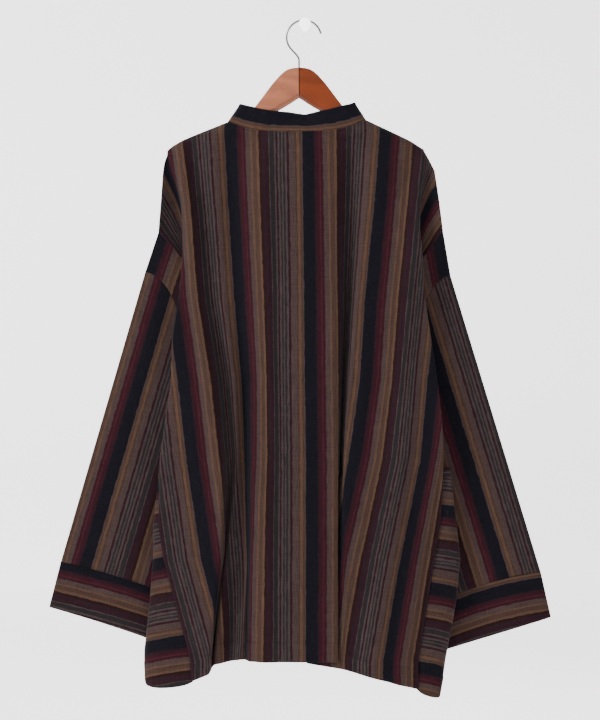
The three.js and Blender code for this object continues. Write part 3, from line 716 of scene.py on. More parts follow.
# ---------------------------------------------------------------- stitches
def stitch_shape():
    """One stitch, modelled once: a short rounded bar along X."""
    bpy.ops.object.select_all(action="DESELECT")
    bpy.ops.mesh.primitive_uv_sphere_add(segments=6, ring_count=5, radius=0.5, location=(0, 0, 0))
    shape = bpy.context.active_object
    edit_all()
    bpy.ops.transform.resize(value=(0.55, 0.55, 3.0))
    bpy.ops.transform.rotate(value=math.pi / 2, orient_axis="Y", center_override=(0, 0, 0))
    bpy.ops.object.mode_set(mode="OBJECT")
    mesh = shape.data
    points = np.array([v.co[:] for v in mesh.vertices])
    faces = [list(p.vertices) for p in mesh.polygons]
    bpy.data.objects.remove(shape)
    bpy.data.meshes.remove(mesh)
    return points, faces


def along_line(points, pitch):
    """Places along a line of points, a pitch apart, as (index, share) pairs."""
    steps = np.linalg.norm(np.diff(points, axis=0), axis=1)
    length = np.concatenate([[0], np.cumsum(steps)])
    wanted = np.arange(pitch / 2, length[-1], pitch)
    index = np.clip(np.searchsorted(length, wanted) - 1, 0, len(steps) - 1)
    return index, (wanted - length[index]) / np.maximum(steps[index], 1e-9)


def stitching(name, lines, finish):
    """A joined mesh of stitches along lines, each a pair of points and outward normals."""
    shape, faces = stitch_shape()
    all_points, all_faces = [], []
    for points, outward in lines:
        index, share = along_line(points, props().stitch_pitch / MM)
        here = mix(points[index], points[index + 1], share[:, None])
        way = points[index + 1] - points[index]
        way /= np.linalg.norm(way, axis=1, keepdims=True)
        up = mix(outward[index], outward[index + 1], share[:, None])
        up -= way * np.sum(up * way, axis=1, keepdims=True)
        up /= np.linalg.norm(up, axis=1, keepdims=True)
        aside = np.cross(up, way)
        lift = props().cloth_thickness / MM / 2 + 0.05
        for k in range(len(here)):
            turn = np.stack([way[k], aside[k], up[k]])
            start = sum(len(p) for p in all_points)
            all_points.append(here[k] + lift * up[k] + shape @ turn)
            all_faces.extend([[start + n for n in face] for face in faces])
    dress(smooth_mesh(name, np.concatenate(all_points), all_faces), finish, "striped_cloth")


# ---------------------------------------------------------------- materials
class Value:
    """A node's output that adds, subtracts, multiplies and divides as a number does."""

    def __init__(self, finish, socket):
        self.finish, self.socket = finish, socket

    def _math(self, operation, a, b=None):
        inputs = {0: a} if b is None else {0: a, 1: b}
        return self.finish.node("ShaderNodeMath", {"operation": operation}, inputs)

    def __add__(self, other):
        return self._math("ADD", self, other)

    def __sub__(self, other):
        return self._math("SUBTRACT", self, other)

    def __mul__(self, other):
        return self._math("MULTIPLY", self, other)

    def __truediv__(self, other):
        return self._math("DIVIDE", self, other)

    __radd__ = __add__

    def fract(self):
        return self._math("FRACT", self)

    def wave(self):
        return self._math("SINE", self)


class Finish:
    """A material with one Principled shader, and a method that adds any other node."""

    def __init__(self, name, **constants):
        self.material = bpy.data.materials.new(name)
        self.material.use_nodes = True
        self.tree = self.material.node_tree
        self.shader = self.tree.nodes["Principled BSDF"]
        for key, value in constants.items():
            self.shader.inputs[key.replace("_", " ")].default_value = value

    def node(self, kind, settings=None, inputs=None, output=0):
        made = self.tree.nodes.new(kind)
        for key, value in (settings or {}).items():
            if key == "stops":
                self.set_stops(made.color_ramp, value)
            else:
                setattr(made, key, value)
        for key, value in (inputs or {}).items():
            self.feed(made.inputs[key], value)
        return Value(self, made.outputs[output])

    def set_stops(self, ramp, stops):
        ramp.interpolation = "CONSTANT"
        while len(ramp.elements) < len(stops):
            ramp.elements.new(1.0)
        for element, (place, colour) in zip(ramp.elements, stops):
            element.position = place
            element.color = colour

    def feed(self, socket, value):
        if isinstance(value, Value):
            self.tree.links.new(value.socket, socket)
        else:
            socket.default_value = value

    def place(self):
        return self.node("ShaderNodeTexCoord", output="Object")

    def parts(self, vector):
        """The first two parts of a vector."""
        apart = self.node("ShaderNodeSeparateXYZ", {}, {0: vector}).socket.node
        return Value(self, apart.outputs[0]), Value(self, apart.outputs[1])

    def grain(self, vector, factors, detail=2.0, roughness=0.5):
        """Noise, as many times finer along each axis as factors say."""
        finer = self.node("ShaderNodeVectorMath", {"operation": "MULTIPLY"}, {0: vector, 1: factors})
        inputs = {"Vector": finer, "Scale": 1.0, "Detail": detail, "Roughness": roughness}
        return self.node("ShaderNodeTexNoise", {}, inputs)

    def between(self, value, low, high, most=1.0):
        """Nothing up to low, and the most from high on."""
        inputs = {0: value, 1: low, 2: high, 3: 0.0, 4: most}
        return self.node("ShaderNodeMapRange", {}, inputs)

    def mixed(self, share, a, b, blend="MIX"):
        settings = {"data_type": "RGBA", "blend_type": blend}
        return self.node("ShaderNodeMix", settings, {0: share, 6: a, 7: b}, output=2)

    def shade(self, colour, value):
        return self.node("ShaderNodeVectorMath", {"operation": "SCALE"}, {0: colour, 3: value})

    def bump(self, height, strength, distance):
        inputs = {"Height": height, "Strength": strength, "Distance": distance}
        return self.node("ShaderNodeBump", {}, inputs)

    def surface(self, **links):
        for key, value in links.items():
            self.feed(self.shader.inputs[key.replace("_", " ")], value)
        return self.material


WARP_PITCH = 0.0021        # from thread to thread, in metres
WEFT_PITCH = 0.0017
FINISHES = {}


def finish_named(name, maker):
    if name not in FINISHES:
        FINISHES[name] = maker()
    return FINISHES[name]


def striped_cloth():
    """Handloom cotton: warp stripes, slubbed threads each way, a soft uneven surface."""
    made = Finish("striped_handloom", Sheen_Weight=0.03, Sheen_Roughness=0.5,
                  Specular_IOR_Level=0.08)
    flat = made.node("ShaderNodeUVMap", {"uv_map": "flat"})
    across, along = made.parts(flat)
    drift = made.grain(flat, (14, 3, 1))
    fuzz = made.grain(flat, (420, 70, 1), 3.0)
    shifted = across + (drift - 0.5) * 0.0026 + (fuzz - 0.5) * 0.0042
    turn = (shifted / (STRIPE_REPEAT * MM)).fract()
    tones = {tone: tuple(getattr(props(), tone)) + (1,) for tone in TONES}
    starts = [0.0] + [end / STRIPE_REPEAT for _, end in STRIPES[:-1]]
    stops = [(start, tones[tone]) for start, (tone, _) in zip(starts, STRIPES)]
    stripe = made.node("ShaderNodeValToRGB", {"stops": stops}, {0: turn})
    warp = made.grain(flat, (760, 34, 1))
    weft = made.grain(flat, (38, 640, 1))
    fleck = made.grain(flat, (520, 470, 1), 3.0, 0.7)
    cloud = made.grain(flat, (7, 5, 1), 3.0)
    value = warp * 1.05 + weft * 0.62 + fleck * 1.00 + cloud * 0.30 - 0.48
    shaded = made.shade(stripe, value)
    pale = made.grain(flat, (900, 300, 1), 1.0)
    lint = made.between(pale, 0.62, 0.80, most=0.30)
    colour = made.mixed(lint, shaded, tuple(props().lint) + (1,))
    warp_ribs = (across * (2 * math.pi / WARP_PITCH)).wave() * 0.30
    weft_ribs = (along * (2 * math.pi / WEFT_PITCH)).wave() * 0.22
    ribs = warp_ribs + weft_ribs
    threads = ribs + warp * 1.6 + weft * 1.3 + fleck * 0.8
    crumple = made.grain(flat, (34, 24, 1), 4.0, 0.6)
    soft_bump = made.bump(crumple, 0.30, 0.0030)
    fine = made.node("ShaderNodeBump", {}, {
        "Height": threads, "Strength": 0.42, "Distance": 0.00035, "Normal": soft_bump})
    return made.surface(Base_Color=colour, Normal=fine, Roughness=0.86 + fleck * 0.12)


def thread_finish():
    made = Finish("sewing_thread", Roughness=0.9, Specular_IOR_Level=0.04)
    place = made.place()
    tint = made.grain(place, (300, 300, 300))
    return made.surface(Base_Color=made.shade(tuple(props().thread), 0.6 + tint * 0.8))


def wood_finish(name, tint):
    """Varnished wood: long grain along the arm, pores, and a glossy coat."""
    made = Finish(name, Roughness=0.42, Coat_Weight=0.12, Coat_Roughness=0.14, Specular_IOR_Level=0.12)
    place = made.place()
    figure = made.grain(place, (16, 120, 55), 4.0, 0.55)
    pores = made.grain(place, (140, 900, 700))
    rings = made.grain(place, (5, 40, 26), 1.0)
    lines = ((rings * 30 + figure * 3).wave() * 0.5) + 0.5
    dark = tuple(c * 0.62 for c in tint) + (1,)
    light = tuple(min(c * 1.25, 1) for c in tint) + (1,)
    colour = made.mixed(figure * 0.55 + lines * 0.35, dark, light)
    colour = made.shade(colour, 0.82 + pores * 0.36)
    return made.surface(Base_Color=colour, Normal=made.bump(pores, 0.08, 0.0004),
                        Roughness=0.32 + figure * 0.2)


def steel_finish():
    made = Finish("bright_wire", Metallic=1.0, Specular_IOR_Level=0.5)
    place = made.place()
    drawn = made.grain(place, (220, 220, 220), 3.0)
    colour = made.mixed(drawn, (0.09, 0.092, 0.095, 1), (0.26, 0.26, 0.27, 1))
    return made.surface(Base_Color=colour, Roughness=0.16 + drawn * 0.16)


def glowing_enamel_finish():
    # The enamel glows evenly, painted light that keeps the white peg bright whatever lights it.
    made = Finish("white_enamel", Coat_Weight=0.3, Coat_Roughness=0.2, Emission_Strength=2.6,
                  Emission_Color=(1.0, 1.0, 1.0, 1))
    place = made.place()
    mottle = made.grain(place, (160, 160, 160), 3.0)
    colour = made.mixed(mottle, (0.80, 0.80, 0.79, 1), (0.90, 0.90, 0.89, 1))
    return made.surface(Base_Color=colour, Roughness=0.32 + mottle * 0.12,
                        Normal=made.bump(mottle, 0.05, 0.0003))


def stage_finish():
    made = Finish("pale_studio", Roughness=0.95, Emission_Strength=2.0)
    place = made.place()
    mottle = made.grain(place, (0.8, 0.8, 0.8))
    tone = tuple(props().backdrop)
    near = tuple(c * 0.98 for c in tone) + (1,)
    # The bowl's glow lights the set: it is dim in front of the garment, and painted shade makes the
    # backdrop darker towards the right.
    across, back = made.parts(place)
    behind = made.between(back, -2.0, 3.0)
    aside = made.between(across, -2.6, 2.6)
    wash = made.mixed(aside, (0.98, 0.97, 0.975, 1), (0.76, 0.715, 0.735, 1))
    glow = made.mixed(behind, (0.21, 0.21, 0.212, 1), wash)
    return made.surface(Base_Color=made.mixed(mottle, near, tone + (1,)), Emission_Color=glow)


# ---------------------------------------------------------------- sizes and colours to change
TONES = ("navy", "crimson", "rose", "wine", "plum", "taupe", "umber", "tan", "brown", "straw", "mist",
         "slate")


def colour_property(name, description, default):
    return bpy.props.FloatVectorProperty(
        name=name, description=description, default=default, subtype="COLOR", size=3, min=0, max=1)


class KurtaSettings(bpy.types.PropertyGroup):
    """The sizes and colours of the kurta, its hanger and its stage."""
    cloth_thickness: bpy.props.FloatProperty(
        name="Cloth thickness", description="Thickness of the handloom cloth", default=0.0011,
        unit="LENGTH")
    collar_thickness: bpy.props.FloatProperty(
        name="Collar thickness", description="Thickness of the doubled collar band", default=0.0022,
        unit="LENGTH")
    weave_grid: bpy.props.FloatProperty(
        name="Grid", description="Spacing of the cloth's points", default=0.0045, unit="LENGTH")
    stitch_pitch: bpy.props.FloatProperty(
        name="Stitch pitch", description="From one stitch to the next", default=0.0042, unit="LENGTH")
    navy: colour_property("Navy", "The widest dark stripe", (0.0027, 0.0026, 0.0050))
    crimson: colour_property("Crimson", "Dark red lines", (0.0200, 0.0034, 0.0062))
    rose: colour_property("Rose", "Pale thread amid the red", (0.0300, 0.0060, 0.0110))
    wine: colour_property("Wine", "Edge of the red lines", (0.0140, 0.0042, 0.0068))
    plum: colour_property("Plum", "Dark purple stripe", (0.0140, 0.0048, 0.0078))
    taupe: colour_property("Taupe", "Grey brown stripe", (0.0350, 0.0222, 0.0205))
    umber: colour_property("Umber", "Darkest brown stripe", (0.0112, 0.0038, 0.0038))
    tan: colour_property("Tan", "Light brown stripe", (0.0350, 0.0195, 0.0145))
    brown: colour_property("Brown", "Warm brown line", (0.0310, 0.0170, 0.0120))
    straw: colour_property("Straw", "Lightest lines", (0.0560, 0.0300, 0.0190))
    mist: colour_property("Mist", "Pale grey lines", (0.0330, 0.0232, 0.0232))
    slate: colour_property("Slate", "Dark grey lines", (0.0125, 0.0103, 0.0108))
    lint: colour_property("Lint", "Pale fibre on the surface", (0.060, 0.046, 0.040))
    thread: colour_property("Thread", "Sewing thread", (0.004, 0.003, 0.004))
    # The two arms are one varnished wood: the left arm's paler tint is a painted highlight and the right
    # arm's deeper tint is painted shade, from the key light on the left.
    wood_left: colour_property("Left arm", "Varnished wood of the left arm", (0.30, 0.105, 0.055))
    wood_right: colour_property("Right arm", "Varnished wood of the right arm", (0.150, 0.027, 0.0045))
    backdrop: colour_property("Backdrop", "Floor and backdrop", (0.80, 0.785, 0.79))
    camera_distance: bpy.props.FloatProperty(
        name="Camera distance", description="From the garment to the camera", default=3.2, unit="LENGTH")
    view_height: bpy.props.FloatProperty(
        name="View height", description="Height seen at the garment", default=1.224, unit="LENGTH")
    key_power: bpy.props.FloatProperty(
        name="Key light", description="Power of the soft key light", default=215.0, subtype="POWER")


def props():
    return bpy.context.scene.kurta


# ---------------------------------------------------------------- the pieces
def cloth():
    return finish_named("cloth", striped_cloth)


def thread():
    return finish_named("thread", thread_finish)


def spaced(length):
    """How many points a length of cloth gets."""
    return max(int(round(length * MM / props().weave_grid)), 4)


class KURTA_OT_back_panel(bpy.types.Operator):
    """Cuts and hangs the striped back panel"""
    bl_idname = "kurta.back_panel"
    bl_label = "Back panel"

    def execute(self, context):
        cut, v = grid(np.linspace(0, BACK_WIDTH, spaced(BACK_WIDTH)), rows_down(spaced(BACK_LENGTH)))
        points, height, z = sewn_back(cut, v)
        points = raised(points, -height)
        marks = marks_of(cut, z, PHASES["back"])
        piece = sheet_object("back_cloth", points, marks)
        dress(piece, cloth(), "striped_cloth", "back_panel")
        return {"FINISHED"}


class KURTA_OT_front_panel(bpy.types.Operator):
    """Cuts and hangs the front panel, with its opening slit"""
    bl_idname = "kurta.front_panel"
    bl_label = "Front panel"

    def execute(self, context):
        cut, v = grid(np.linspace(0, BACK_WIDTH, spaced(BACK_WIDTH)), rows_down(spaced(FRONT_LENGTH)))
        points, height, z = sewn_front(cut, v)
        points, parted = self.open_slit(raised(points, height), z)
        marks = marks_of(cut * FRONT_WIDTH / BACK_WIDTH, z, PHASES["front"])
        piece = sheet_object("front_cloth", points, marks, parted=parted)
        dress(piece, cloth(), "striped_cloth", "front_panel")
        return {"FINISHED"}

    def open_slit(self, points, z):
        """Draws the cloth aside along the slit, and marks the cells that part there."""
        off = points[..., 0] - HANGER_X
        middle = int(np.sum(off[:, 20] < 0)) - 1
        wide = np.interp(-z, [-SLIT["top"], -SLIT["bottom"]], [SLIT["wide"], SLIT["narrow"]])
        centre = (off[middle] + off[middle + 1]) / 2
        in_slit = soft((z - SLIT["bottom"]) / 6)
        halves = ((slice(None, middle + 1), middle, -1), (slice(middle + 1, None), middle + 1, 1))
        for rows, edge, side in halves:
            push = side * wide[rows] / 2 - (off[edge] - centre)
            away = off[rows] - off[edge]
            points[rows, :, 0] += push * np.exp(-(away / 16) ** 2) * in_slit[rows]
        parted = np.zeros((points.shape[0] - 1, points.shape[1] - 1), bool)
        parted[middle] = z[middle, 1:] > SLIT["bottom"]
        return points, parted


class KURTA_OT_collar(bpy.types.Operator):
    """Sets the band collar round the neck"""
    bl_idname = "kurta.collar"
    bl_label = "Band collar"

    def execute(self, context):
        share, v = grid(*spread_over(COUNTS["collar"], 0.002, 0.998))
        points = collar_point(share, v)
        navy_from = 0.31
        roll = 0.9 * np.exp(-((1 - v) / 0.10) ** 2) + 0.35 * np.exp(-((v - navy_from) / 0.06) ** 2)
        wave = 0.5 * np.sin(share * 61) * v + 0.35 * np.sin(share * 143 + 1) * v
        points = raised(points, roll - wave)
        place = np.where(v < navy_from, mix(-10.4, 0, v / navy_from),
                         mix(0, 19.0, (v - navy_from) / (1 - navy_from)))
        marks = marks_of(place, share * COLLAR_LENGTH, {"start": 0, "way": 1})
        piece = sheet_object("collar_cloth", points, marks, props().collar_thickness)
        dress(piece, cloth(), "cross_cloth", "collar_band")
        return {"FINISHED"}


class KURTA_OT_gores(bpy.types.Operator):
    """Sets the side gores, cut across the stripes"""
    bl_idname = "kurta.gores"
    bl_label = "Side gores"

    def execute(self, context):
        for name, side in HANDS:
            share, v = grid(*spread_over(COUNTS["gore"], -0.012, 1.012))
            low = gore_hem(share, GORE_HEM[name])
            z = mix(GORE_TOP_Z + 4, low, v)
            points = gore_point(share, z, side)
            flat = share * gore_width(z)
            uneven = 0.5 * ripple(flat, z, SEEDS["gore"] + side)
            height = crease_heights(GORE_CREASES_LAID, flat, z) + uneven
            height = height * soft(share / 0.1) * soft((1 - share) / 0.1) + hem_relief(z - low, flat)
            points = raised(points, height * -side)
            phase = PHASES["gore_" + name]
            marks = marks_of(-z - flat * GORE_TILT, flat, phase)
            piece = sheet_object("gore_cloth_" + name, points[::-side], marks[::-side])
            dress(piece, cloth(), "cross_cloth", "side_gore_" + name)
        return {"FINISHED"}


def from_outer(points, start, end):
    """Distances from the straight outer edge of a sleeve, and along it."""
    way = np.array([end[0] - start[0], end[1] - start[1]])
    way = way / np.hypot(*way)
    dx, dz = points[..., 0] - start[0], points[..., 2] - start[1]
    return np.abs(dx * way[1] - dz * way[0]), dx * way[0] + dz * way[1]


class KURTA_OT_upper_sleeves(bpy.types.Operator):
    """Sets the pieced bands between the body and the sleeves"""
    bl_idname = "kurta.upper_sleeves"
    bl_label = "Upper sleeve bands"

    def execute(self, context):
        for name, sleeve in SLEEVES.items():
            side = sleeve["side"]
            turn, v = ring_grid(COUNTS["upper"], -0.02)
            points = mix(armhole_point(side, turn), ring_point(sleeve["top"], turn), v[..., None])
            outer = sleeve["top"]["outer"]
            start = armhole_point(side, np.zeros(1))[0]
            far, along = from_outer(points, (start[0], start[2]), outer)
            height = 0.4 * ripple(far, along, SEEDS["upper"]) * soft(v / 0.2) * soft((1 - v) / 0.2)
            points = raised(points, height, ring=True)
            marks = closed(marks_of(far, along, PHASES["upper_" + name]))
            piece = sheet_object("upper_sleeve_cloth_" + name, points, marks, ring=True)
            dress(piece, cloth(), "striped_cloth", "upper_sleeve_" + name)
        return {"FINISHED"}


class KURTA_OT_sleeves(bpy.types.Operator):
    """Sets the two wide sleeves"""
    bl_idname = "kurta.sleeves"
    bl_label = "Sleeves"

    def execute(self, context):
        for name, sleeve in SLEEVES.items():
            turn, v = ring_grid(COUNTS["sleeve"])
            top, wrist = sleeve["top"], sleeve["wrist"]
            points = mix(ring_point(top, turn), ring_point(wrist, turn), v[..., None])
            far, along = from_outer(points, top["outer"], wrist["outer"])
            uneven = 0.7 * ripple(far, along, SEEDS["sleeve"])
            height = 0.8 * crease_heights(SLEEVE_CREASES, far, along) + uneven
            ends = soft(v / 0.04) * soft((1 - v) / 0.04)
            points[..., 1] += facing(turn) * height * ends
            marks = closed(marks_of(far, along, PHASES["sleeve_" + name]))
            piece = sheet_object("sleeve_cloth_" + name, points, marks, ring=True)
            dress(piece, cloth(), "striped_cloth", "sleeve_" + name)
        return {"FINISHED"}


class KURTA_OT_cuffs(bpy.types.Operator):
    """Sets the two cuffs, cut across the stripes"""
    bl_idname = "kurta.cuffs"
    bl_label = "Cuffs"

    def execute(self, context):
        for name, sleeve in SLEEVES.items():
            turn, v = ring_grid(COUNTS["cuff"])
            wrist, end = ring_point(sleeve["wrist"], turn), ring_point(sleeve["end"], turn)
            points = mix(wrist, end, v[..., None])
            deep = np.linalg.norm(end - wrist, axis=-1) * v
            far = CUFF_ROUND * turn
            edge = 0.35 * np.exp(-((v - 0.03) / 0.02) ** 2) - 0.5 * np.exp(-(v / 0.015) ** 2)
            lift = 0.5 + edge + 0.5 * ripple(far, deep, SEEDS["cuff"])
            points[..., 1] += facing(turn) * lift * soft((1 - v) / 0.08 + 0.4)
            marks = closed(marks_of(deep, far, PHASES["cuff_" + name]), CUFF_ROUND * MM)
            piece = sheet_object("cuff_cloth_" + name, points, marks, props().cloth_thickness * 1.3,
                                 ring=True)
            dress(piece, cloth(), "cross_cloth", "cuff_" + name)
        return {"FINISHED"}


def seam_line(surface, n=240):
    """A line on a surface with its normals: surface(t, s), s steps off the line to find them."""
    t = np.linspace(0, 1, n)
    line = surface(t, 0.0)
    aside = surface(t, 1.0) - line
    way = np.gradient(line, axis=0)
    normal = np.cross(way, aside)
    normal /= np.maximum(np.linalg.norm(normal, axis=1, keepdims=True), 1e-9)
    toward = np.sign(-normal[:, 1:2])
    return line, normal * np.where(toward == 0, 1, toward)


class KURTA_OT_stitching(bpy.types.Operator):
    """Sews the rows of stitches along hems and seams"""
    bl_idname = "kurta.stitching"
    bl_label = "Stitching"

    def execute(self, context):
        def hem(t, s):
            cut = mix(2, BACK_WIDTH - 2, t)
            return self.on_back(cut, hem_height(cut) + HEM_DEPTH + 2 * s)

        def neck(t, s):
            cut = mix(NECK["left"] + 3, NECK["right"] - 3, t)
            return self.on_back(cut, top_height(cut) - 4 - 2 * s)

        def side_left(t, s):
            return self.on_back(np.full(t.shape, 5.0 + s), mix(GORE_TOP_Z - 70, -1100, t))

        def side_right(t, s):
            return self.on_back(np.full(t.shape, BACK_WIDTH - 5 - s), mix(GORE_TOP_Z - 70, -1112, t))

        lines = [seam_line(line) for line in (hem, neck, side_left, side_right)]
        stitching("back_stitches", lines, thread())
        lines = []
        for name, sleeve in SLEEVES.items():
            def cuff_edge(t, s, sleeve=sleeve):
                turn = mix(0.02, 0.42, t)
                a, b = ring_point(sleeve["wrist"], turn), ring_point(sleeve["end"], turn)
                point = mix(a, b, 0.05 + 0.01 * s)
                point[..., 1] -= 0.6
                return point
            lines.append(seam_line(cuff_edge))
        stitching("cuff_stitches", lines, thread())
        return {"FINISHED"}

    def on_back(self, cut, z):
        """A point on the finished back panel at a cut and height."""
        top, low = top_height(cut), hem_height(cut)
        v = (z - top) / (low - top)
        points, height, _ = sewn_back(cut, v)
        points[..., 1] -= height
        return points


# Sections of a hanger arm, from past the middle outwards: its top, underside and thickness.
ARM_SECTIONS = table("x top under thick", [
    (-9, -74, -115, 12), (0, -74, -119.6, 12), (7, -74.2, -123.4, 12), (14, -75.4, -127.6, 12),
    (20, -77.4, -131, 12),
    (26, -81.2, -134.6, 12), (33, -87.4, -138.8, 12), (46, -102, -146.6, 12), (60, -120.4, -155, 12),
    (75, -140, -164.2, 12), (90, -155, -173.2, 12), (104, -167, -181.8, 12), (119, -173, -190.8, 12),
    (135, -176.8, -200, 12), (160, -188, -211, 12), (186, -199, -223, 12), (198, -205.5, -227, 11),
    (206, -213, -227, 8),
])


class KURTA_OT_hanger_arms(bpy.types.Operator):
    """Shapes the two varnished wooden arms"""
    bl_idname = "kurta.hanger_arms"
    bl_label = "Hanger arms"

    def execute(self, context):
        for name, side in HANDS:
            piece = self.shape(name, side)
            # Each arm's own tint holds painted light: a painted highlight on the left arm, painted shade
            # on the right.
            tint = tuple(getattr(props(), "wood_" + name))
            finish = finish_named("wood_" + name, lambda n=name, t=tint: wood_finish("wood_" + n, t))
            dress(piece, finish, "hanger_wood", "hanger_arm_" + name)
        return {"FINISHED"}

    def shape(self, name, side):
        rows = list(zip(*ARM_SECTIONS.values()))
        x0, top, under, thick = rows[0]
        bpy.ops.object.select_all(action="DESELECT")
        bpy.ops.mesh.primitive_plane_add(size=1, rotation=(0, math.pi / 2, 0))
        piece = bpy.context.active_object
        piece.name = piece.data.name = "hanger_wood_" + name
        bpy.ops.object.transform_apply(location=False, rotation=True, scale=False)
        edit_all()
        bpy.ops.transform.resize(value=(1, thick * MM, (top - under) * MM), center_override=(0, 0, 0))
        bpy.ops.transform.translate(value=(side * x0 * MM, 0, (top + under) / 2 * MM))
        self.lower_back_edge(piece, (top + under) / 2 * MM)
        for (xa, ta, ua, wa), (xb, tb, ub, wb) in zip(rows, rows[1:]):
            step = (side * (xb - xa) * MM, 0, ((tb + ub) - (ta + ua)) / 2 * MM)
            bpy.ops.mesh.extrude_region_move(TRANSFORM_OT_translate={"value": step})
            centre = (side * xb * MM, 0, (tb + ub) / 2 * MM)
            ratio = (1, wb / wa, (tb - ub) / (ta - ua))
            bpy.ops.transform.resize(value=ratio, center_override=centre)
        close_edit()
        finish_with(piece, "BEVEL", width=2.6 * MM, segments=4, limit_method="ANGLE",
                    angle_limit=math.radians(42))
        edit_all()
        bpy.ops.mesh.bisect(plane_co=(side * 0.25 * MM, 0, 0), plane_no=(side, 0, 0),
                            use_fill=True, clear_inner=True)
        bpy.ops.mesh.select_all(action="SELECT")
        turn = math.atan2(ARM_SWEEP, ARM_REACH) * side
        bpy.ops.transform.rotate(value=-turn, orient_axis="Z", center_override=(0, 0, 0))
        bpy.ops.transform.translate(value=(HANGER_X * MM, HANGER_Y * MM, 0))
        bpy.ops.object.mode_set(mode="OBJECT")
        smooth_by(piece, 32)
        return piece

    def lower_back_edge(self, piece, middle):
        """Slopes the underside down towards the wall, as the arm's lower edge is planed."""
        bpy.ops.mesh.select_all(action="DESELECT")
        bpy.ops.object.mode_set(mode="OBJECT")
        for vertex in piece.data.vertices:
            vertex.select = vertex.co.y > 0 and vertex.co.z < middle
        bpy.ops.object.mode_set(mode="EDIT")
        bpy.ops.transform.translate(value=(0, 0, -6 * MM))
        bpy.ops.mesh.select_all(action="SELECT")


class KURTA_OT_hook(bpy.types.Operator):
    """Bends the hanger's wire hook"""
    bl_idname = "kurta.hook"
    bl_label = "Hook"

    START, ARC, STRAIGHT, BEND, BEND_RADIUS, SHANK = 12.0, 210.0, 14.3, 42.0, 16.0, 12.0
    CENTRE = (-1.7, -22.1)

    def execute(self, context):
        centre = (self.CENTRE[0] * MM, HANGER_Y * MM, self.CENTRE[1] * MM)
        start = math.radians(self.START)
        end = math.radians(self.START + self.ARC)
        tip = (centre[0] + HOOK_RADIUS * MM * math.cos(start), centre[1],
               centre[2] + HOOK_RADIUS * MM * math.sin(start))
        bpy.ops.object.select_all(action="DESELECT")
        bpy.ops.mesh.primitive_circle_add(
            vertices=16, radius=WIRE_RADIUS * MM, fill_type="NOTHING", location=(0, 0, 0))
        piece = bpy.context.active_object
        piece.name = piece.data.name = "hook_wire"
        edit_all()
        bpy.ops.transform.rotate(value=start, orient_axis="Y", center_override=(0, 0, 0))
        bpy.ops.transform.translate(value=tip)
        bpy.ops.mesh.spin(steps=56, angle=math.radians(self.ARC), center=centre, axis=(0, 1, 0))
        way = (-math.sin(end), 0, math.cos(end))
        step = tuple(c * self.STRAIGHT * MM for c in way)
        bpy.ops.mesh.extrude_region_move(TRANSFORM_OT_translate={"value": step})
        corner = (centre[0] + HOOK_RADIUS * MM * math.cos(end) + step[0], centre[1],
                  centre[2] + HOOK_RADIUS * MM * math.sin(end) + step[2])
        pivot = (corner[0] + math.cos(end) * self.BEND_RADIUS * MM, corner[1],
                 corner[2] + math.sin(end) * self.BEND_RADIUS * MM)
        bpy.ops.mesh.spin(steps=12, angle=math.radians(self.BEND), center=pivot, axis=(0, -1, 0))
        bpy.ops.mesh.extrude_region_move(TRANSFORM_OT_translate={"value": (0, 0, -self.SHANK * MM)})
        bpy.ops.mesh.select_all(action="SELECT")
        bpy.ops.mesh.remove_doubles(threshold=0.00001)
        bpy.ops.mesh.select_all(action="DESELECT")
        bpy.ops.mesh.select_non_manifold()
        bpy.ops.mesh.fill_holes(sides=32)
        close_edit()
        finish_with(piece, "BEVEL", width=0.7 * MM, segments=3, limit_method="ANGLE",
                    angle_limit=math.radians(50))
        smooth_by(piece, 35)
        dress(piece, finish_named("steel", steel_finish), "hook_steel", "hanger_hook")
        return {"FINISHED"}


class KURTA_OT_peg(bpy.types.Operator):
    """Turns the round wall peg"""
    bl_idname = "kurta.peg"
    bl_label = "Wall peg"

    # each ring's radius and distance from the wall, from the wall outwards
    RINGS = [(PEG_RADIUS, 0), (PEG_RADIUS, 39.2), (7.2, 40.0), (9.2, 40.3), (PEG_HEAD_RADIUS, 41.4),
             (PEG_HEAD_RADIUS, 43.6), (9.5, 45.0), (8.2, 45.8), (5.5, PEG_LENGTH)]

    def execute(self, context):
        bpy.ops.object.select_all(action="DESELECT")
        bpy.ops.mesh.primitive_circle_add(
            vertices=48, radius=PEG_RADIUS * MM, fill_type="NGON", rotation=(math.pi / 2, 0, 0))
        piece = bpy.context.active_object
        piece.name = piece.data.name = "peg_enamel"
        bpy.ops.object.transform_apply(location=False, rotation=True, scale=False)
        edit_all()
        for (ra, ya), (rb, yb) in zip(self.RINGS, self.RINGS[1:]):
            bpy.ops.mesh.extrude_region_move(TRANSFORM_OT_translate={"value": (0, (ya - yb) * MM, 0)})
            bpy.ops.transform.resize(value=(rb / ra, 1, rb / ra), center_override=(0, -yb * MM, 0))
        close_edit()
        smooth_by(piece, 30)
        # The peg's enamel glows: painted light.
        dress(piece, finish_named("paint", glowing_enamel_finish), "peg_paint", "wall_peg")
        return {"FINISHED"}


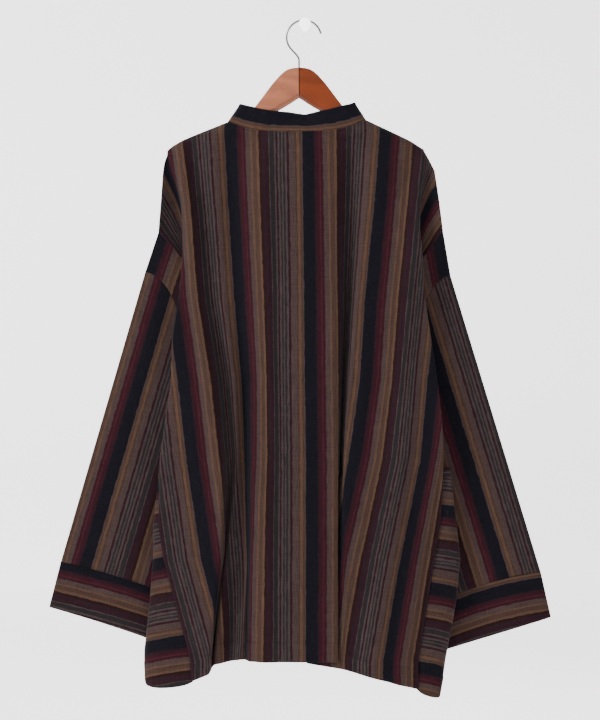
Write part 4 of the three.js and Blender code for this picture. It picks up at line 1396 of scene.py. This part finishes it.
class KURTA_OT_stage(bpy.types.Operator):
    """Sets the pale floor and backdrop, the soft lights and the camera"""
    bl_idname = "kurta.stage"
    bl_label = "Stage"

    AIM = (-8.5, -55.0, -574.0)
    FLOOR_Z = -1.75
    SENSOR = 24.0
    # rings of the bowl round the set: how far out, and how high above the floor
    BOWL = [(7.4, 0.0), (8.2, 0.12), (8.8, 0.5), (9.1, 1.1), (9.2, 2.4), (9.2, 6.0)]

    def execute(self, context):
        bpy.ops.object.select_all(action="DESELECT")
        bpy.ops.mesh.primitive_circle_add(
            vertices=96, radius=self.BOWL[0][0], fill_type="NGON", location=(0, 0, self.FLOOR_Z))
        bowl = bpy.context.active_object
        bowl.name = "studio_bowl"
        edit_all()
        bpy.ops.mesh.inset(thickness=0.2)
        bpy.ops.mesh.select_all(action="DESELECT")
        bpy.ops.mesh.select_non_manifold()
        for (ra, ha), (rb, hb) in zip(self.BOWL, self.BOWL[1:]):
            bpy.ops.mesh.extrude_edges_move(TRANSFORM_OT_translate={"value": (0, 0, hb - ha)})
            bpy.ops.transform.resize(value=(rb / ra, rb / ra, 1), center_override=(0, 0, 0))
        bpy.ops.object.mode_set(mode="OBJECT")
        smooth_by(bowl, 40)
        bowl.data.materials.append(finish_named("stage", stage_finish))
        self.lights()
        self.camera(context)
        return {"FINISHED"}

    def lights(self):
        """A soft key from the upper left, a fill from the right, a light from above and a wash from
        behind on the right.
        """
        power = props().key_power
        for name, place, size, share, tone in (
            ("key", (-3.0, -1.9, 2.0), 1.3, 1.12, (1.0, 0.985, 0.97)),
            ("fill", (2.6, -2.6, -0.2), 2.2, 0.06, (0.96, 0.97, 1.0)),
            ("top", (0.0, -0.8, 2.4), 2.4, 0.12, (1.0, 1.0, 1.0)),
            ("wall_side", (1.2, 3.2, 0.9), 2.4, 0.40, (1.0, 0.99, 0.98)),
        ):
            bpy.ops.object.light_add(type="AREA", location=place)
            light = bpy.context.active_object
            light.name = "light_" + name
            light.data.energy = power * share
            light.data.size = size
            light.data.color = tone
            aim = np.array([0.0, -0.05, -0.6]) - np.array(place)
            yaw = math.atan2(aim[0], -aim[1])
            pitch = math.atan2(math.hypot(aim[0], aim[1]), -aim[2])
            light.rotation_euler = (pitch, 0, yaw + math.pi)
        world = bpy.data.worlds.new("studio_air")
        world.use_nodes = True
        air = world.node_tree.nodes["Background"]
        air.inputs["Color"].default_value = (0.95, 0.96, 1.0, 1)
        air.inputs["Strength"].default_value = 0.4
        bpy.context.scene.world = world

    def camera(self, context):
        aim = [c * MM for c in self.AIM]
        bpy.ops.object.camera_add(
            location=(aim[0], aim[1] - props().camera_distance, aim[2]), rotation=(math.pi / 2, 0, 0))
        camera = context.active_object
        camera.data.sensor_fit = "VERTICAL"
        camera.data.sensor_height = self.SENSOR
        camera.data.lens = self.SENSOR * props().camera_distance / props().view_height
        context.scene.camera = camera


class KURTA_PT_panel(bpy.types.Panel):
    """Lists the kurta's pieces and its settings"""
    bl_idname = "KURTA_PT_panel"
    bl_label = "Kurta"
    bl_space_type = "VIEW_3D"
    bl_region_type = "UI"
    bl_category = "Kurta"

    def draw(self, context):
        for step in STEPS:
            self.layout.operator(step.bl_idname)
        for name in KurtaSettings.__annotations__:
            self.layout.prop(context.scene.kurta, name)


STEPS = (
    KURTA_OT_back_panel, KURTA_OT_front_panel, KURTA_OT_collar, KURTA_OT_gores,
    KURTA_OT_upper_sleeves, KURTA_OT_sleeves, KURTA_OT_cuffs, KURTA_OT_stitching,
    KURTA_OT_hanger_arms, KURTA_OT_hook, KURTA_OT_peg, KURTA_OT_stage,
)
CLASSES = (KurtaSettings, *STEPS, KURTA_PT_panel)


def register():
    for cls in CLASSES:
        bpy.utils.register_class(cls)
    bpy.types.Scene.kurta = bpy.props.PointerProperty(type=KurtaSettings)


def unregister():
    del bpy.types.Scene.kurta
    for cls in reversed(CLASSES):
        bpy.utils.unregister_class(cls)


def main():
    register()
    for step in STEPS:
        getattr(bpy.ops.kurta, step.bl_idname.split(".")[1])()


if __name__ == "__main__":
    main()
